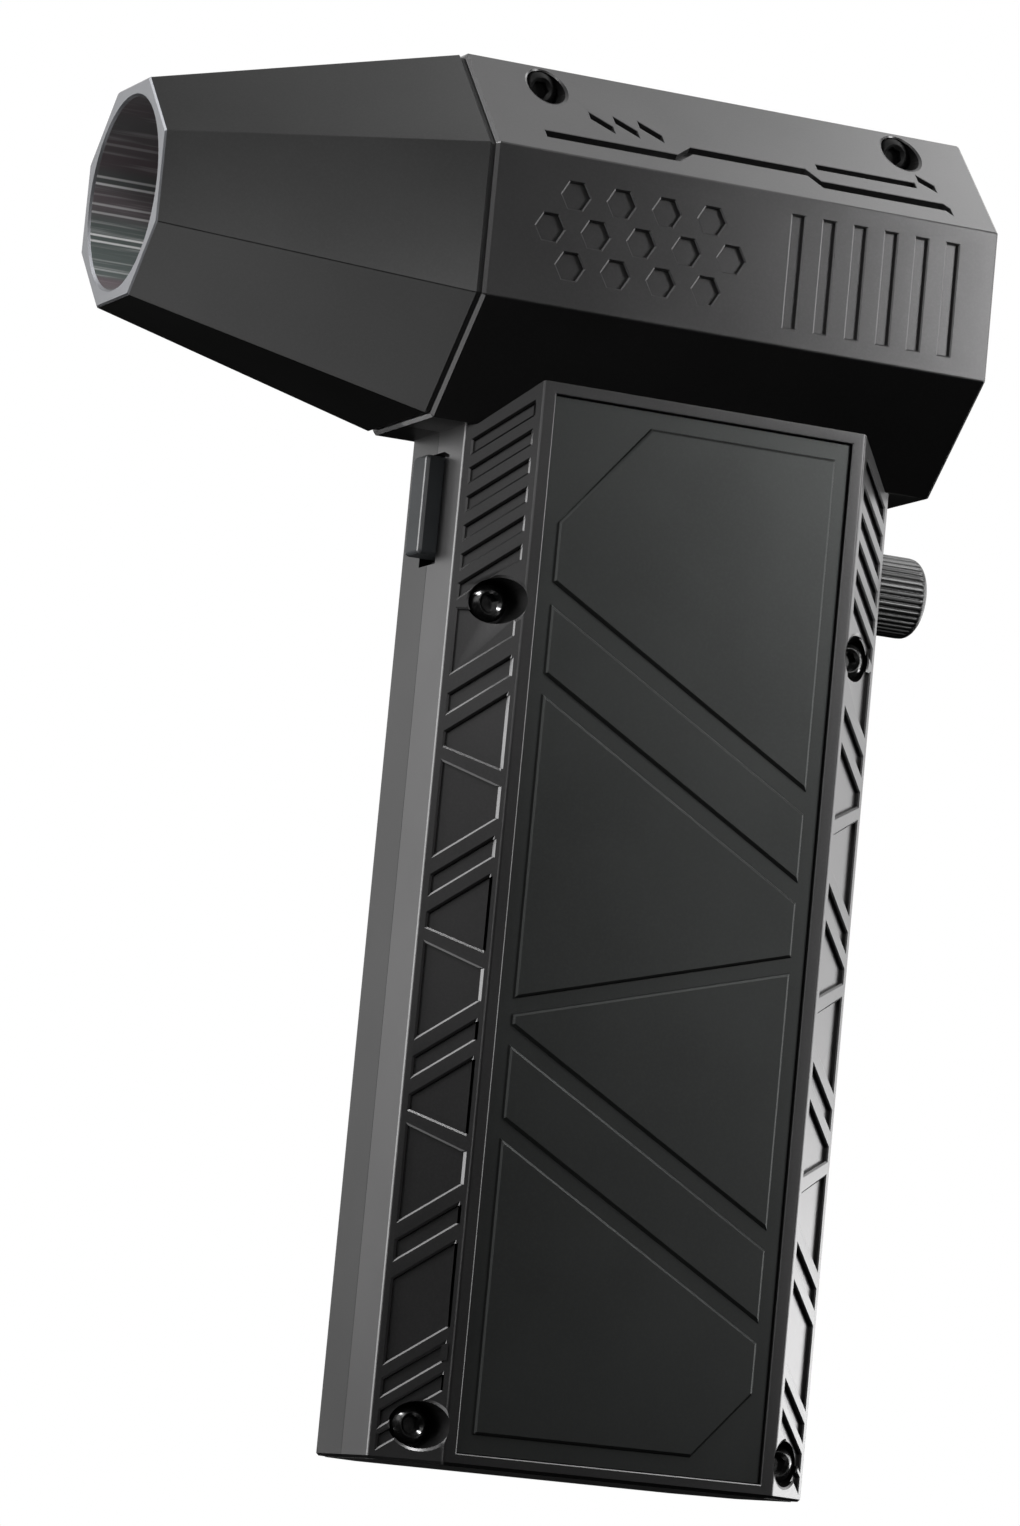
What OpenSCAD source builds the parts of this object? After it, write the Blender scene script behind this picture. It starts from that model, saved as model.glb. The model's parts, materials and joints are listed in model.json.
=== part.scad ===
// Hand-held jet dryer: an octagonal fan head with a tapered nozzle on a chamfered battery grip.
// Millimetres. The air blows towards -X and the grip hangs below the head.
// The foot of the grip stands on z = 0, and the origin is under the middle of the overall length.
// Inside head_frame() x is measured from the joint between nozzle and head, and z from the head's axis.

/* [Head] */
// Size of the octagonal head across its flats
head_af = 44; // [42:0.5:48]
// Length of the head behind the nozzle
head_len = 66.5; // [64:0.5:70]
// Wall thickness of the head
head_wall = 2.2; // [1.8:0.1:2.4]
// Height of the head's axis over the foot
head_z = 144.4; // [142:0.1:160]

/* [Nozzle] */
// Length of the tapered nozzle
nozzle_len = 37.3; // [34:0.1:60]
// Size of the nozzle's mouth across its flats
tip_af = 26; // [25.6:0.1:28]
// Diameter of the air outlet
outlet_d = 23; // [20:0.5:23]
// Length of the straight part of the air outlet
outlet_len = 12; // [8:0.5:14]
// Thickness of the gasket that fills the joint
gasket_t = 0.5; // [0.4:0.1:1]

/* [Grip] */
// Distance from the joint back to the front of the grip
grip_front = 5.5; // [5:0.1:6]
// Length of the grip from front to rear
grip_len = 56.1; // [55:0.1:58]
// Thickness of the grip from side to side
grip_w = 29.3; // [29:0.1:31]
// Width of the narrow front and rear faces
grip_face_w = 16.2; // [15:0.1:17]
// Length of each corner chamfer along the grip
chamfer_len = 6.9; // [6.5:0.1:7.2]
// Depth of the engraved pockets
pocket_depth = 0.5; // [0.3:0.1:0.8]

/* [Fan] */
// Inner diameter of the fan duct
duct_d = 31; // [30:0.5:31]
// Wall thickness of the fan duct
duct_wall = 1.3; // [1:0.1:1.3]
// Number of impeller blades
blade_count = 9; // [5:1:11]
// Number of guide vanes
vane_count = 7; // [5:1:9]
// Running gap between the blade tips and the duct
tip_gap = 0.3; // [0.2:0.05:0.5]

/* [Controls] */
// Height of the trigger button
trigger_h = 12; // [10:0.5:14]
// Width of the trigger button
trigger_w = 4.4; // [4:0.1:5]
// How far the trigger stands out of the grip
trigger_proud = 2.2; // [1.8:0.1:3]
// Travel of the trigger
trigger_travel = 1.5; // [1:0.1:1.5]
// Diameter of the speed knob
knob_d = 10; // [8:0.1:11]
// Length of the speed knob
knob_len = 7.9; // [6:0.1:9]
// Number of ridges round the knob
knob_ridges = 40; // [24:1:48]

/* [Battery] */
// Diameter of a battery cell
cell_d = 21.2; // [18.4:0.1:21.2]
// Length of a battery cell
cell_len = 70; // [65:1:70]

/* [Hidden] */

$fn = 64;
eps = 0.5;                                  // overshoot of a cut past a face
fit = 0.1;                                  // gap between parts that are fixed together
knob_z = -33;                               // height of the knob's axis
trigger_z = -31.2;                          // height of the trigger's middle
port_z = -55;                               // height of the charging port's middle
lamp_z = -69;                               // height of the battery lamps' middle
lamp_pitch = 3;

head_rear = head_len;
joint_x = (nozzle_len - (grip_front + grip_len + knob_len + 0.3)) / 2;

// The grip: outer faces, chamfer frame and inner cavity
grip_rear = grip_front + grip_len;
panel_y = grip_w / 2;
face_y = grip_face_w / 2;
chamfer_w = norm([chamfer_len, panel_y - face_y]);
chamfer_angle = atan2(panel_y - face_y, chamfer_len);
panel_x0 = grip_front + chamfer_len;
panel_x1 = grip_rear - chamfer_len;
foot_z = -head_z;
pad_proud = 0.1;
shell_foot = foot_z + pad_proud;
end_wall = 2.2;                             // wall at the grip's front, rear and foot
cavity_y = panel_y - 2.65;
cavity_bottom = shell_foot + end_wall;
side_y = head_af / 2;
side_edge = side_y * tan(22.5);             // half the width of one flat of the head
cavity_af = head_af - 2 * head_wall;

// Screws: M2.5 through the case, M2 elsewhere
screw_r = 1.25;
screw_head_r = 2.25;
screw_head_h = 2.5;
small_screw_r = 1;
case_screw_len = 16;
head_screw = [[10.1, 19], [57.2, 19]];      // x, z of the two screws in the head
grip_screw = [[10.1, -43], [57.3, -43.2], [10.1, -140], [57.3, -140.1]];
head_screw_floor = 7.9;                     // depth of the counterbore floor from the seam
grip_screw_floor = 7.5;
cap_screw = [for (sy = [-1, 1], sz = [-1, 1]) [sy * 17.46, sz * 7.23]];

// Fan and motor, all on the head's axis
duct_r = duct_d / 2;
duct_out = duct_r + duct_wall;
duct_x = [5, 62.5];
sleeve_r = [7.7, 8.6];
sleeve_x = [17, 40.2];
can_x = [18.2, 40.2];
can_r = [7.1, 7.7];
shaft_r = 1.5;
bearing_r = 4;
bearing_w = 3;
front_bearing_x = 19.5;
rear_bearing_x = 36.6;
core_x = [24, 34];
impeller_x = [41, 55];
spinner_tip = 61.5;
wire_x = 37;
wire_r = 0.55;
damper_x = [14.3, 50.3];

// Trigger stack, front to rear
button_x = grip_front - trigger_proud;
flange_x = [8, 9.2];
stem_end = 10.9;
trigger_gap = 0.35;                         // gap on each side of the button
notch_w = 7.8;                              // drooping notch over the button
notch_rise = 0.55;
notch_h = 1;                                // straight notch under the button
notch_depth = 1.4;
switch_x = [13.2, 17];
board_t = 1.4;
board_x = switch_x[1];

// Knob and potentiometer, front to rear
knob_x = grip_rear + 0.3;
pot_x = [51, 57.5];
bushing_r = 3;
bushing_end = grip_rear - 0.2;

// Battery
cell_gap = 0.2;
cell_mid = (grip_front + grip_rear) / 2 - 0.45;
cell_x = [cell_mid - (cell_d + cell_gap) / 2, cell_mid + (cell_d + cell_gap) / 2];
cell_z = -134.5;
strip_t = 0.2;

module head_frame() translate([joint_x, 0, head_z]) children();

// A cylinder or cone along +X from x0 to x1
module rod(x0, x1, r, r2 = undef)
    translate([x0, 0, 0]) rotate([0, 90, 0]) cylinder(h = x1 - x0, r1 = r, r2 = is_undef(r2) ? r : r2);

// A cylinder along +Y from y0 to y1 at the point xz
module cross_rod(xz, y0, y1, r)
    translate([xz[0], y0, xz[1]]) rotate([-90, 0, 0]) cylinder(h = y1 - y0, r = r);

// A ring along +X
module tube(x0, x1, r_in, r_out) difference() {
    rod(x0, x1, r_out);
    rod(x0 - eps, x1 + eps, r_in);
}

// A solid of revolution about X from a profile of [x, r] points
module turned(profile) rotate([0, 90, 0]) rotate_extrude() polygon([for (p = profile) [p[1], p[0]]]);

module box(x, y, z) translate([x[0], y[0], z[0]]) cube([x[1] - x[0], y[1] - y[0], z[1] - z[0]]);

module octagon(x0, x1, af)
    translate([x0, 0, 0]) rotate([0, 90, 0]) rotate([0, 0, 22.5])
        cylinder(h = x1 - x0, r = af / 2 / cos(22.5), $fn = 8);

// Plan of the grip, inset by a wall at its ends, its sides and its chamfered corners
function grip_plan(ends, sides, corner) = [
    for (c = [[-1, -1, 0], [-1, -1, 1], [1, -1, 1], [1, -1, 0], [1, 1, 0], [1, 1, 1], [-1, 1, 1], [-1, 1, 0]])
        let (mid = (grip_front + grip_rear) / 2,
             at_side = c[2] == 1,
             x = at_side ? grip_len / 2 - chamfer_len - corner : grip_len / 2 - ends,
             y = at_side ? panel_y - sides : face_y - corner)
        [mid + c[0] * x, c[1] * y]];

module grip_prism(z0, z1, ends = 0, sides = 0, corner = 0)
    translate([0, 0, z0]) linear_extrude(z1 - z0) polygon(grip_plan(ends, sides, corner));

// Frames of the engraved faces. In each the face is the XZ plane and -Y points outwards.
module on_panel() translate([0, -panel_y, 0]) children();
module on_head_side() translate([0, -side_y, 0]) children();
module on_head_slope() translate([0, -side_y, side_edge]) rotate([-45, 0, 0]) children();
module on_front_chamfer()
    translate([grip_front, -face_y, 0]) rotate([0, 0, -chamfer_angle]) children();
module on_rear_chamfer()
    translate([grip_rear, -face_y, 0]) mirror([1, 0, 0]) rotate([0, 0, -chamfer_angle]) children();

// Cuts a flat outline into the XZ plane, to a depth along +Y
module engrave(depth)
    translate([0, depth, 0]) rotate([90, 0, 0]) linear_extrude(depth + eps) children();

// ---- Engraved patterns ----

pocket_u = [1.15, 8.35];                    // pockets run from near one edge of a chamfer to the other
slant = 4.7;                                // rise of every slanted edge over the pocket's width
slot_pitch = 3.46;
slot_h = 1.45;
unit_pitch = 21.5;

// A four-sided pocket given by its left edge and its right edge, top first
module pocket(left, right, u = pocket_u)
    polygon([[u[0], left[0]], [u[1], right[0]], [u[1], right[1]], [u[0], left[1]]]);

module slanted_bar(z, h) pocket([z, z - h], [z + slant, z + slant - h]);

module chamfer_pattern() {
    for (i = [0:5]) slanted_bar(-23.95 - slot_pitch * i, slot_h);
    pocket([-44.2, -51.75], [-44.2, -47.05]);
    for (i = [0:3]) slanted_bar(-54.45 - unit_pitch * i, 2.1);
    for (i = [0:2]) translate([0, -unit_pitch * i]) {
        pocket([-58.9, -60.5], [-54.2, -62.9]);
        pocket([-62.4, -73.5], [-65.1, -68.8]);
    }
    pocket([-123.4, -133.1], [-118.7, -128.4]);
    slanted_bar(-135.1, 1.85);
    slanted_bar(-138.7, 1.8);
    pocket([-141.5, -143], [-140, -141.5], u = [pocket_u[0], 3.5]);
}

hex_pitch = 5.87;
hex_row = 4.23;
hex_d = 3.6;
hex_mid = [19.9, 0.1];

module honeycomb() for (row = [-1:1], i = [-2:2])
    if (row == 0 || i < 2)
        translate(hex_mid + [(i + (row == 0 ? 0 : 0.5)) * hex_pitch, row * hex_row])
            circle(d = hex_d, $fn = 6);

module side_slots() for (i = [0:5]) translate([39.1 + 4.12 * i, -6.8]) square([1.6, 13.6]);

// A flat band of a given width along a run of points that all go towards +X
module band(points, w) polygon(concat(
    [for (p = points) p + [0, w / 2]],
    [for (i = [len(points) - 1:-1:0]) points[i] - [0, w / 2]]));

module slope_grooves() {
    band([[7.6, 3.7], [24.8, 3.7], [27, 5.8], [42.2, 5.8], [43.8, 3.7], [60.2, 3.7], [60.9, 2.9]], 1.35);
    band([[44, 7.4], [57.3, 7.4]], 1.05);
    for (x = [14.6, 17.8, 21]) band([[x, 9.4], [x + 2.6, 7.2]], 1.35);
    band([[58, 9], [60, 7.4]], 1.3);
}

// ---- Case ----

inlay_x = [panel_x0 + 1.6, panel_x1 - 1.6];
inlay_z = [shell_foot + 1.4, -17.9];
inlay_floor = 0.5;                          // step down from the shell's rim to the inlay
inlay_t = 1;
inlay_y = -panel_y + inlay_floor + inlay_t; // the inlay's back face

// Outline over the button, its middle high and its ends low
module drooping_notch() polygon([
    [-notch_w / 2, -0.4], [-notch_w / 2, 0], [-trigger_w / 2, notch_rise],
    [trigger_w / 2, notch_rise], [notch_w / 2, 0], [notch_w / 2, -0.4],
    [trigger_w / 2 + trigger_gap, -0.1], [-trigger_w / 2 - trigger_gap, -0.1],
]);

module case_outer() {
    octagon(gasket_t, head_rear, head_af);
    grip_prism(shell_foot, -12);
}

module case_inner() {
    octagon(gasket_t - eps, head_rear + eps, cavity_af);
    grip_prism(cavity_bottom, -side_y, end_wall, panel_y - cavity_y, 1.1);
    box([34, 45], [-7, 7], [-side_y - eps, -cavity_af / 2 + eps]);
}

// Ribs round the duct, screw bosses and board rails of the -Y half, all running out into the wall
module case_frame() {
    difference() {
        union() {
            for (x = damper_x) octagon(x - 0.8, x + 0.8, head_af - 1);
            octagon(31.5, 33.1, head_af - 1);
        }
        for (x = damper_x) rod(x - 1, x + 1, duct_out + 0.8);
        rod(31, 33.6, duct_out);
    }
    for (p = head_screw) {
        cross_rod(p, -side_y, -head_screw_floor + 1, 3.6);
        cross_rod(p, -side_y, 1, 2.2);
    }
    for (p = grip_screw) cross_rod(p, -panel_y, 1, 3.9);
    for (p = cap_screw) translate([0, p[0], p[1]]) {
        rod(57.5, cap_x[0], 1.95);
        box([57.5, cap_x[0]], [-4, 0], [-1.95, 1.95]);
    }
    box([15.6, 20], [-panel_y, -9.5], [-40, -24]);
}

// The -Y half of the case. Children are posts that stand in its cavity.
module case_half() difference() {
    case_outer();
    difference() {
        case_inner();
        case_frame();
        children();
    }
    translate([-50, 0, -200]) cube([200, 50, 300]);
    on_panel() engrave(inlay_floor + inlay_t)
        translate([inlay_x[0], inlay_z[0]]) square([inlay_x[1] - inlay_x[0], inlay_z[1] - inlay_z[0]]);
    on_front_chamfer() engrave(pocket_depth) chamfer_pattern();
    on_rear_chamfer() engrave(pocket_depth) chamfer_pattern();
    on_head_side() engrave(pocket_depth) {
        honeycomb();
        side_slots();
    }
    on_head_slope() engrave(0.8) slope_grooves();
    rod(2.3, 4.1, cavity_af / 2 + 0.7);
    grip_prism(foot_z, shell_foot + 0.7, 1, 1, 0.4);
    translate([grip_front - eps, 0, trigger_z + trigger_h / 2]) rotate([90, 0, 90])
        linear_extrude(notch_depth + eps) drooping_notch();
    box([grip_front - eps, grip_front + notch_depth], [-trigger_w / 2 - trigger_gap, trigger_w / 2 + trigger_gap],
        [trigger_z - trigger_h / 2 - notch_h, trigger_z + trigger_h / 2]);
    box([grip_front - eps, 8.2], [-trigger_w / 2 - trigger_gap, trigger_w / 2 + trigger_gap],
        [trigger_z - trigger_h / 2 - 0.2, trigger_z + trigger_h / 2 + 0.2]);
    box([board_x, board_x + board_t], [-10.5, 10.5], [-41, -23]);
    translate([0, 0, knob_z]) rod(grip_rear - 4, grip_rear + 1, bushing_r + 0.1);
    port_outline(1.7, 58, grip_rear + 1);
    for (i = [-1.5:1.5]) translate([0, 0, lamp_z + i * lamp_pitch]) rod(58, grip_rear + 1, 1);
    for (p = cap_screw) translate([0, p[0], p[1]]) rod(57, 64, small_screw_r);
}

// The upright stadium outline of the charging port, between two values of x
module port_outline(r, x0, x1) translate([0, 0, port_z]) {
    for (s = [-1, 1]) translate([0, 0, 2.9 * s]) rod(x0, x1, r);
    box([x0, x1], [-r, r], [-2.9, 2.9]);
}

module left_shell() color("#3b3b3e") head_frame() difference() {
    case_half() for (p = charge_posts) cross_rod(p, -cavity_y - 1, charge_board_y[0], 2);
    for (p = head_screw) {
        cross_rod(p, -side_y, -head_screw_floor, 2.4);
        cross_rod(p, -side_y, eps, screw_r + fit);
    }
    for (p = grip_screw) {
        cross_rod(p, -panel_y - 1, -grip_screw_floor, 2.75);
        cross_rod(p, -panel_y, eps, screw_r + fit);
    }
    for (p = charge_posts) cross_rod(p, -9.5, 0, small_screw_r);
}

module right_shell() color("#363638") head_frame() mirror([0, 1, 0]) difference() {
    case_half() for (p = driver_posts) cross_rod(p, -cavity_y - 1, -driver_board_y[1], 2);
    for (p = head_screw) cross_rod(p, head_screw_floor - case_screw_len - 0.4, eps, screw_r);
    for (p = grip_screw) cross_rod(p, grip_screw_floor - case_screw_len - 0.4, eps, screw_r);
    for (p = driver_posts) cross_rod(p, -11.5, -6, small_screw_r);
}

// ---- Side inlays ----

plate_x = [16.1, 51];
plate_drop = 20.2;                          // fall of every slanted edge across the inlay
plate_h = 0.4;

// A slanted plate from z at its front edge, of a given height
module slanted_plate(z, h)
    polygon([[plate_x[0], z], [plate_x[1], z - plate_drop], [plate_x[1], z - plate_drop - h], [plate_x[0], z - h]]);

module inlay_plates() {
    polygon([[26.8, -20.2], [plate_x[1], -20.2], [plate_x[1], -60.2], [plate_x[0], -40], [plate_x[0], -33]]);
    slanted_plate(-43, 8);
    polygon([[plate_x[0], -53.7], [plate_x[1], -73.9], [plate_x[1], -80.3], [plate_x[0], -89.4]]);
    polygon([[plate_x[0], -91.5], [plate_x[1], -82.4], [plate_x[1], -112.8], [plate_x[0], -92.6]]);
    slanted_plate(-95.2, 8.4);
    polygon([[plate_x[0], -106.2], [plate_x[1], -126.4], [plate_x[1], -132.4], [43.8, -140.4],
             [plate_x[0], -140.4]]);
}

module inlay() union() {
    box([inlay_x[0] + 0.05, inlay_x[1] - 0.05], [inlay_y - inlay_t, inlay_y],
        [inlay_z[0] + 0.05, inlay_z[1] - 0.05]);
    translate([0, inlay_y - inlay_t + 0.2, 0]) rotate([90, 0, 0])
        linear_extrude(plate_h + 0.2) inlay_plates();
}

module left_side_panel() color("#2a2d2d") head_frame() inlay();

module right_side_panel() color("#2a2d2d") head_frame() mirror([0, 1, 0]) inlay();

// ---- Nozzle ----

outlet_r = outlet_d / 2;
liner_wall = 0.9;
lip_len = 1;
collar_r = [17.5, 19.3];
collar_end = 5;
base_af = head_af - 0.6;
throat_x = -nozzle_len + outlet_len;

module nozzle() color("#3a3a3c") head_frame() difference() {
    union() {
        translate([-nozzle_len, 0, 0]) rotate([0, 90, 0]) rotate([0, 0, 22.5])
            cylinder(h = nozzle_len, r1 = tip_af / 2 / cos(22.5), r2 = base_af / 2 / cos(22.5), $fn = 8);
        rod(-1, collar_end, collar_r[1]);
        rod(2.4, 4, collar_r[1] + 1.1);
    }
    rod(-nozzle_len - 1, 0, outlet_r);
    rod(-nozzle_len + lip_len, throat_x, outlet_r + liner_wall);
    rod(throat_x, -2, outlet_r + liner_wall, collar_r[0]);
    rod(-2, collar_end + 1, collar_r[0]);
}

module nozzle_liner() color("#6a6a6e") head_frame() turned([
    [-nozzle_len + lip_len, outlet_r], [throat_x, outlet_r], [-2, duct_r], [collar_end, duct_r],
    [collar_end, collar_r[0]], [-2, collar_r[0]], [throat_x, outlet_r + liner_wall],
    [-nozzle_len + lip_len, outlet_r + liner_wall]]);

module nozzle_gasket() color("#151515") head_frame() difference() {
    octagon(0, gasket_t, base_af - 0.7);
    rod(-eps, gasket_t + eps, collar_r[1]);
}

// ---- Rear of the head ----

cap_x = [63.4, 66];
cap_opening = 15.2;

module rear_cap() color("#2e2e30") head_frame() difference() {
    octagon(cap_x[0], cap_x[1], cavity_af - 0.2);
    rod(cap_x[0] - eps, cap_x[1], cap_opening);
    rod(cap_x[1] - 1.4, cap_x[1] + 0.01, cap_opening, cap_opening + 1.4);
    for (p = cap_screw) translate([0, p[0], p[1]]) {
        rod(cap_x[0] - eps, cap_x[1], small_screw_r + 0.05);
        rod(cap_x[1] - 1.3, cap_x[1] + eps, 1.95);
    }
}

module rear_cap_screws() color("#8c8c90") head_frame()
    for (p = cap_screw) translate([0, p[0], p[1]]) difference() {
        union() {
            rod(58.5, cap_x[1] - 1.3, small_screw_r);
            rod(cap_x[1] - 1.3, cap_x[1] - 0.1, 1.9);
        }
        translate([cap_x[1] - 1, 0, 0]) rotate([0, 90, 0]) cylinder(h = 2, r = 0.8, $fn = 6);
    }

module intake_grille() color("#1f1f20") head_frame() {
    grille_x = [duct_x[1], cap_x[0]];
    for (r = [3.6, 7.8, 12, duct_out]) tube(grille_x[0], grille_x[1], r - 0.9, r);
    difference() {
        for (a = [0:30:150]) rotate([a, 0, 0])
            box(grille_x, [-duct_out + 0.3, duct_out - 0.3], [-0.5, 0.5]);
        rod(grille_x[0] - eps, grille_x[1] + eps, 3);
    }
}

// ---- Fixings and foot ----

module cap_screw_along_y(xz, y_head, len) difference() {
    union() {
        cross_rod(xz, y_head - screw_head_h, y_head, screw_head_r);
        cross_rod(xz, y_head, y_head + len, screw_r);
    }
    translate([xz[0], y_head - screw_head_h - eps, xz[1]]) rotate([-90, 0, 0])
        cylinder(h = 1.3 + eps, r = 1.15, $fn = 6);
}

module case_screws() color("#5a5a5e") head_frame() {
    for (p = head_screw) cap_screw_along_y(p, -head_screw_floor, case_screw_len);
    for (p = grip_screw) cap_screw_along_y(p, -grip_screw_floor, case_screw_len);
}

module foot_pad() color("#141414") head_frame()
    grip_prism(foot_z, shell_foot + 0.7, 1.05, 1.05, 0.45);

// ---- Duct, motor and rotor ----

// A cambered guide vane, drawn as x against its sideways offset
vane_x = [20, 33];
function vane_camber(s) = 3 * s * s - 1;
function vane_side(sign) = [for (s = [0:0.125:1])
    [vane_x[0] + s * (vane_x[1] - vane_x[0]), vane_camber(s) + sign * (0.25 + 0.7 * sin(180 * s))]];
vane_outline = concat(vane_side(-1), [for (i = [8:-1:0]) vane_side(1)[i]]);

module fan_duct() color("#3c3f42") head_frame() difference() {
    union() {
        tube(duct_x[0], duct_x[1], duct_r, duct_out);
        tube(sleeve_x[0], sleeve_x[1], sleeve_r[0], sleeve_r[1]);
        tube(sleeve_x[0], can_x[0], 2.2, sleeve_r[1] - 0.2);
        for (i = [0:vane_count - 1]) rotate([360 / vane_count * i + 90, 0, 0])
            translate([0, 0, sleeve_r[0] + 0.25]) linear_extrude(duct_r - sleeve_r[0] + 0.4)
                polygon(vane_outline);
    }
    for (a = [0:120:240]) rotate([a, 0, 0]) translate([0, 0, 5.2]) rod(16, 19, small_screw_r + 0.05);
    box([wire_x - 0.9, wire_x + 0.9], [-2.5, 2.5], [-duct_out - 1, -7]);
}

module duct_damper_rings() color("#1a1a1a") head_frame()
    for (x = damper_x) tube(x - 1.4, x + 1.4, duct_out, duct_out + 0.8);

cone_len = 11.5;
function cone_r(s, r) = r * sqrt(1 - s * s);

module tail_cone() color("#2b2b2d") head_frame() {
    difference() {
        turned(concat([[sleeve_x[0], 0]],
            [for (s = [1:-0.1:0]) [sleeve_x[0] - cone_len * s, cone_r(s, sleeve_r[1])]]));
        turned(concat([[sleeve_x[0] + eps, 0]],
            [for (s = [1:-0.125:0]) [sleeve_x[0] - (cone_len - 1.6) * s, cone_r(s, 7.4)]],
            [[sleeve_x[0] + eps, 7.4]]));
    }
    rod(sleeve_x[0] - cone_len + 1.2, can_x[0], 2.15);
}

module motor_can() color("#9a9a9e") head_frame() difference() {
    union() {
        tube(can_x[0], can_x[1], can_r[0], can_r[1]);
        rod(can_x[0], front_bearing_x, can_r[1]);
        tube(front_bearing_x - 0.2, front_bearing_x + bearing_w, bearing_r, bearing_r + 0.9);
    }
    for (a = [0:120:240]) rotate([a, 0, 0]) translate([0, 0, 5.2])
        rod(can_x[0] - eps, front_bearing_x, small_screw_r);
    box([wire_x - 0.9, wire_x + 0.9], [-2.5, 2.5], [-9, -5.9]);
}

module motor_end_cap() color("#88888c") head_frame() difference() {
    union() {
        rod(39, can_x[1], can_r[0]);
        rod(rear_bearing_x, 39.5, bearing_r + 1.2);
    }
    rod(rear_bearing_x - eps, rear_bearing_x + bearing_w, bearing_r);
    rod(39, can_x[1] + eps, 2.1);
}

module motor_screws() color("#8c8c90") head_frame()
    for (a = [0:120:240]) rotate([a, 0, 0]) translate([0, 0, 5.2]) {
        rod(sleeve_x[0] - 1, sleeve_x[0], 1.7);
        rod(sleeve_x[0], front_bearing_x - 0.1, small_screw_r);
    }

module stator_core() color("#5f6266") head_frame() {
    tube(core_x[0], core_x[1], 5.9, can_r[0]);
    difference() {
        for (a = [0:60:300]) rotate([a, 0, 0]) box(core_x, [-0.75, 0.75], [3, 6.2]);
        rod(core_x[0] - eps, core_x[1] + eps, 3.9);
    }
}

module stator_windings() color("#b5652a") head_frame()
    for (a = [0:60:300]) rotate([a, 0, 0]) difference() {
        box([core_x[0] - 1.1, core_x[1] + 1.1], [-1.8, 1.8], [4.2, 5.5]);
        box([core_x[0], core_x[1]], [-0.75, 0.75], [4, 6]);
    }

module bearing(x) turned([[x, shaft_r + 0.02], [x, 2.2], [x + 0.3, 2.2], [x + 0.3, 3.4], [x, 3.4],
    [x, bearing_r], [x + bearing_w, bearing_r], [x + bearing_w, 3.4], [x + bearing_w - 0.3, 3.4],
    [x + bearing_w - 0.3, 2.2], [x + bearing_w, 2.2], [x + bearing_w, shaft_r + 0.02]]);

module front_bearing() color("#b9b9bd") head_frame() bearing(front_bearing_x);

module rear_bearing() color("#b9b9bd") head_frame() bearing(rear_bearing_x);

module motor_shaft() color("#c8c8cc") head_frame() rod(front_bearing_x + 0.3, 57.4, shaft_r);

module rotor_magnet() color("#55565a") head_frame() tube(core_x[0], core_x[1], shaft_r, 3.5);

module impeller() color("#77787c") head_frame() difference() {
    union() {
        turned([[impeller_x[0], 0], [impeller_x[0], 8.4], [impeller_x[0] + 4, 8.1], [impeller_x[0] + 9, 7],
                [impeller_x[1], 5.5], [impeller_x[1], 0]]);
        translate([impeller_x[0] + 1, 0, 0]) rotate([0, 90, 0])
            linear_extrude(12, twist = 42, slices = 7, $fn = 8)
                for (i = [0:blade_count - 1]) rotate(360 / blade_count * i)
                    translate([4, -0.45]) square([duct_r - tip_gap - 4, 0.9]);
    }
    rod(impeller_x[0] - eps, impeller_x[1] + eps, shaft_r);
}

module spinner() color("#a3a3a7") head_frame() difference() {
    turned(concat([[impeller_x[1], 0]],
        [for (s = [0:0.1:1]) [impeller_x[1] + (spinner_tip - impeller_x[1]) * s, cone_r(s, 5.5)]]));
    rod(impeller_x[1] - eps, 57.4, shaft_r);
}

// ---- Trigger ----

module trigger_button() color("#4a4a4e") head_frame() {
    box([button_x, flange_x[0]], [-trigger_w / 2, trigger_w / 2],
        [trigger_z - trigger_h / 2, trigger_z + trigger_h / 2]);
    box(flange_x, [-trigger_w / 2 - 1.2, trigger_w / 2 + 1.2],
        [trigger_z - trigger_h / 2 - 1.2, trigger_z + trigger_h / 2 + 1.2]);
    translate([0, 0, trigger_z]) rod(flange_x[1], stem_end, shaft_r);
}

module switch_plunger() color("#9c2b22") head_frame()
    translate([0, 0, trigger_z]) rod(stem_end, switch_x[0] + 0.4, shaft_r);

module trigger_switch() color("#1c1c1e") head_frame() difference() {
    box(switch_x, [-3.1, 3.1], [trigger_z - 3.1, trigger_z + 3.1]);
    translate([0, 0, trigger_z]) rod(switch_x[0] - eps, 15.4, shaft_r + 0.06);
}

module trigger_board() color("#1f5a36") head_frame()
    box([board_x, board_x + board_t], [-10.4, 10.4], [-40, -23.4]);

// Points of a coil about X, from x0 to x1
function coil(x0, x1, r, turns, steps) = [for (i = [0:turns * steps])
    let (a = 360 * i / steps) [x0 + (x1 - x0) * i / (turns * steps), r * cos(a), r * sin(a)]];

// A round wire swept along points; no stretch of the path may run along the vector ref
module swept(path, r, ref, sides = 8) {
    last = len(path) - 1;
    rings = [for (i = [0:last])
        let (t = path[min(i + 1, last)] - path[max(i - 1, 0)],
             b = cross(t, ref) / norm(cross(t, ref)),
             n = cross(b, t) / norm(t))
        for (k = [0:sides - 1]) path[i] + r * (cos(360 * k / sides) * n + sin(360 * k / sides) * b)];
    walls = [for (i = [0:last - 1], k = [0:sides - 1])
        let (j = (k + 1) % sides, a = i * sides, c = a + sides)
        each [[a + k, a + j, c + j], [a + k, c + j, c + k]]];
    ends = [[for (k = [sides - 1:-1:0]) k], [for (k = [0:sides - 1]) last * sides + k]];
    polyhedron(rings, concat(walls, ends));
}

module trigger_spring() color("#b0b0b4") head_frame() translate([0, 0, trigger_z])
    swept(coil(flange_x[1] + 0.25, switch_x[0] - 0.25, 2.4, 5, 12), 0.2, [1, 0, 0], 6);

// ---- Speed knob ----

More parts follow.
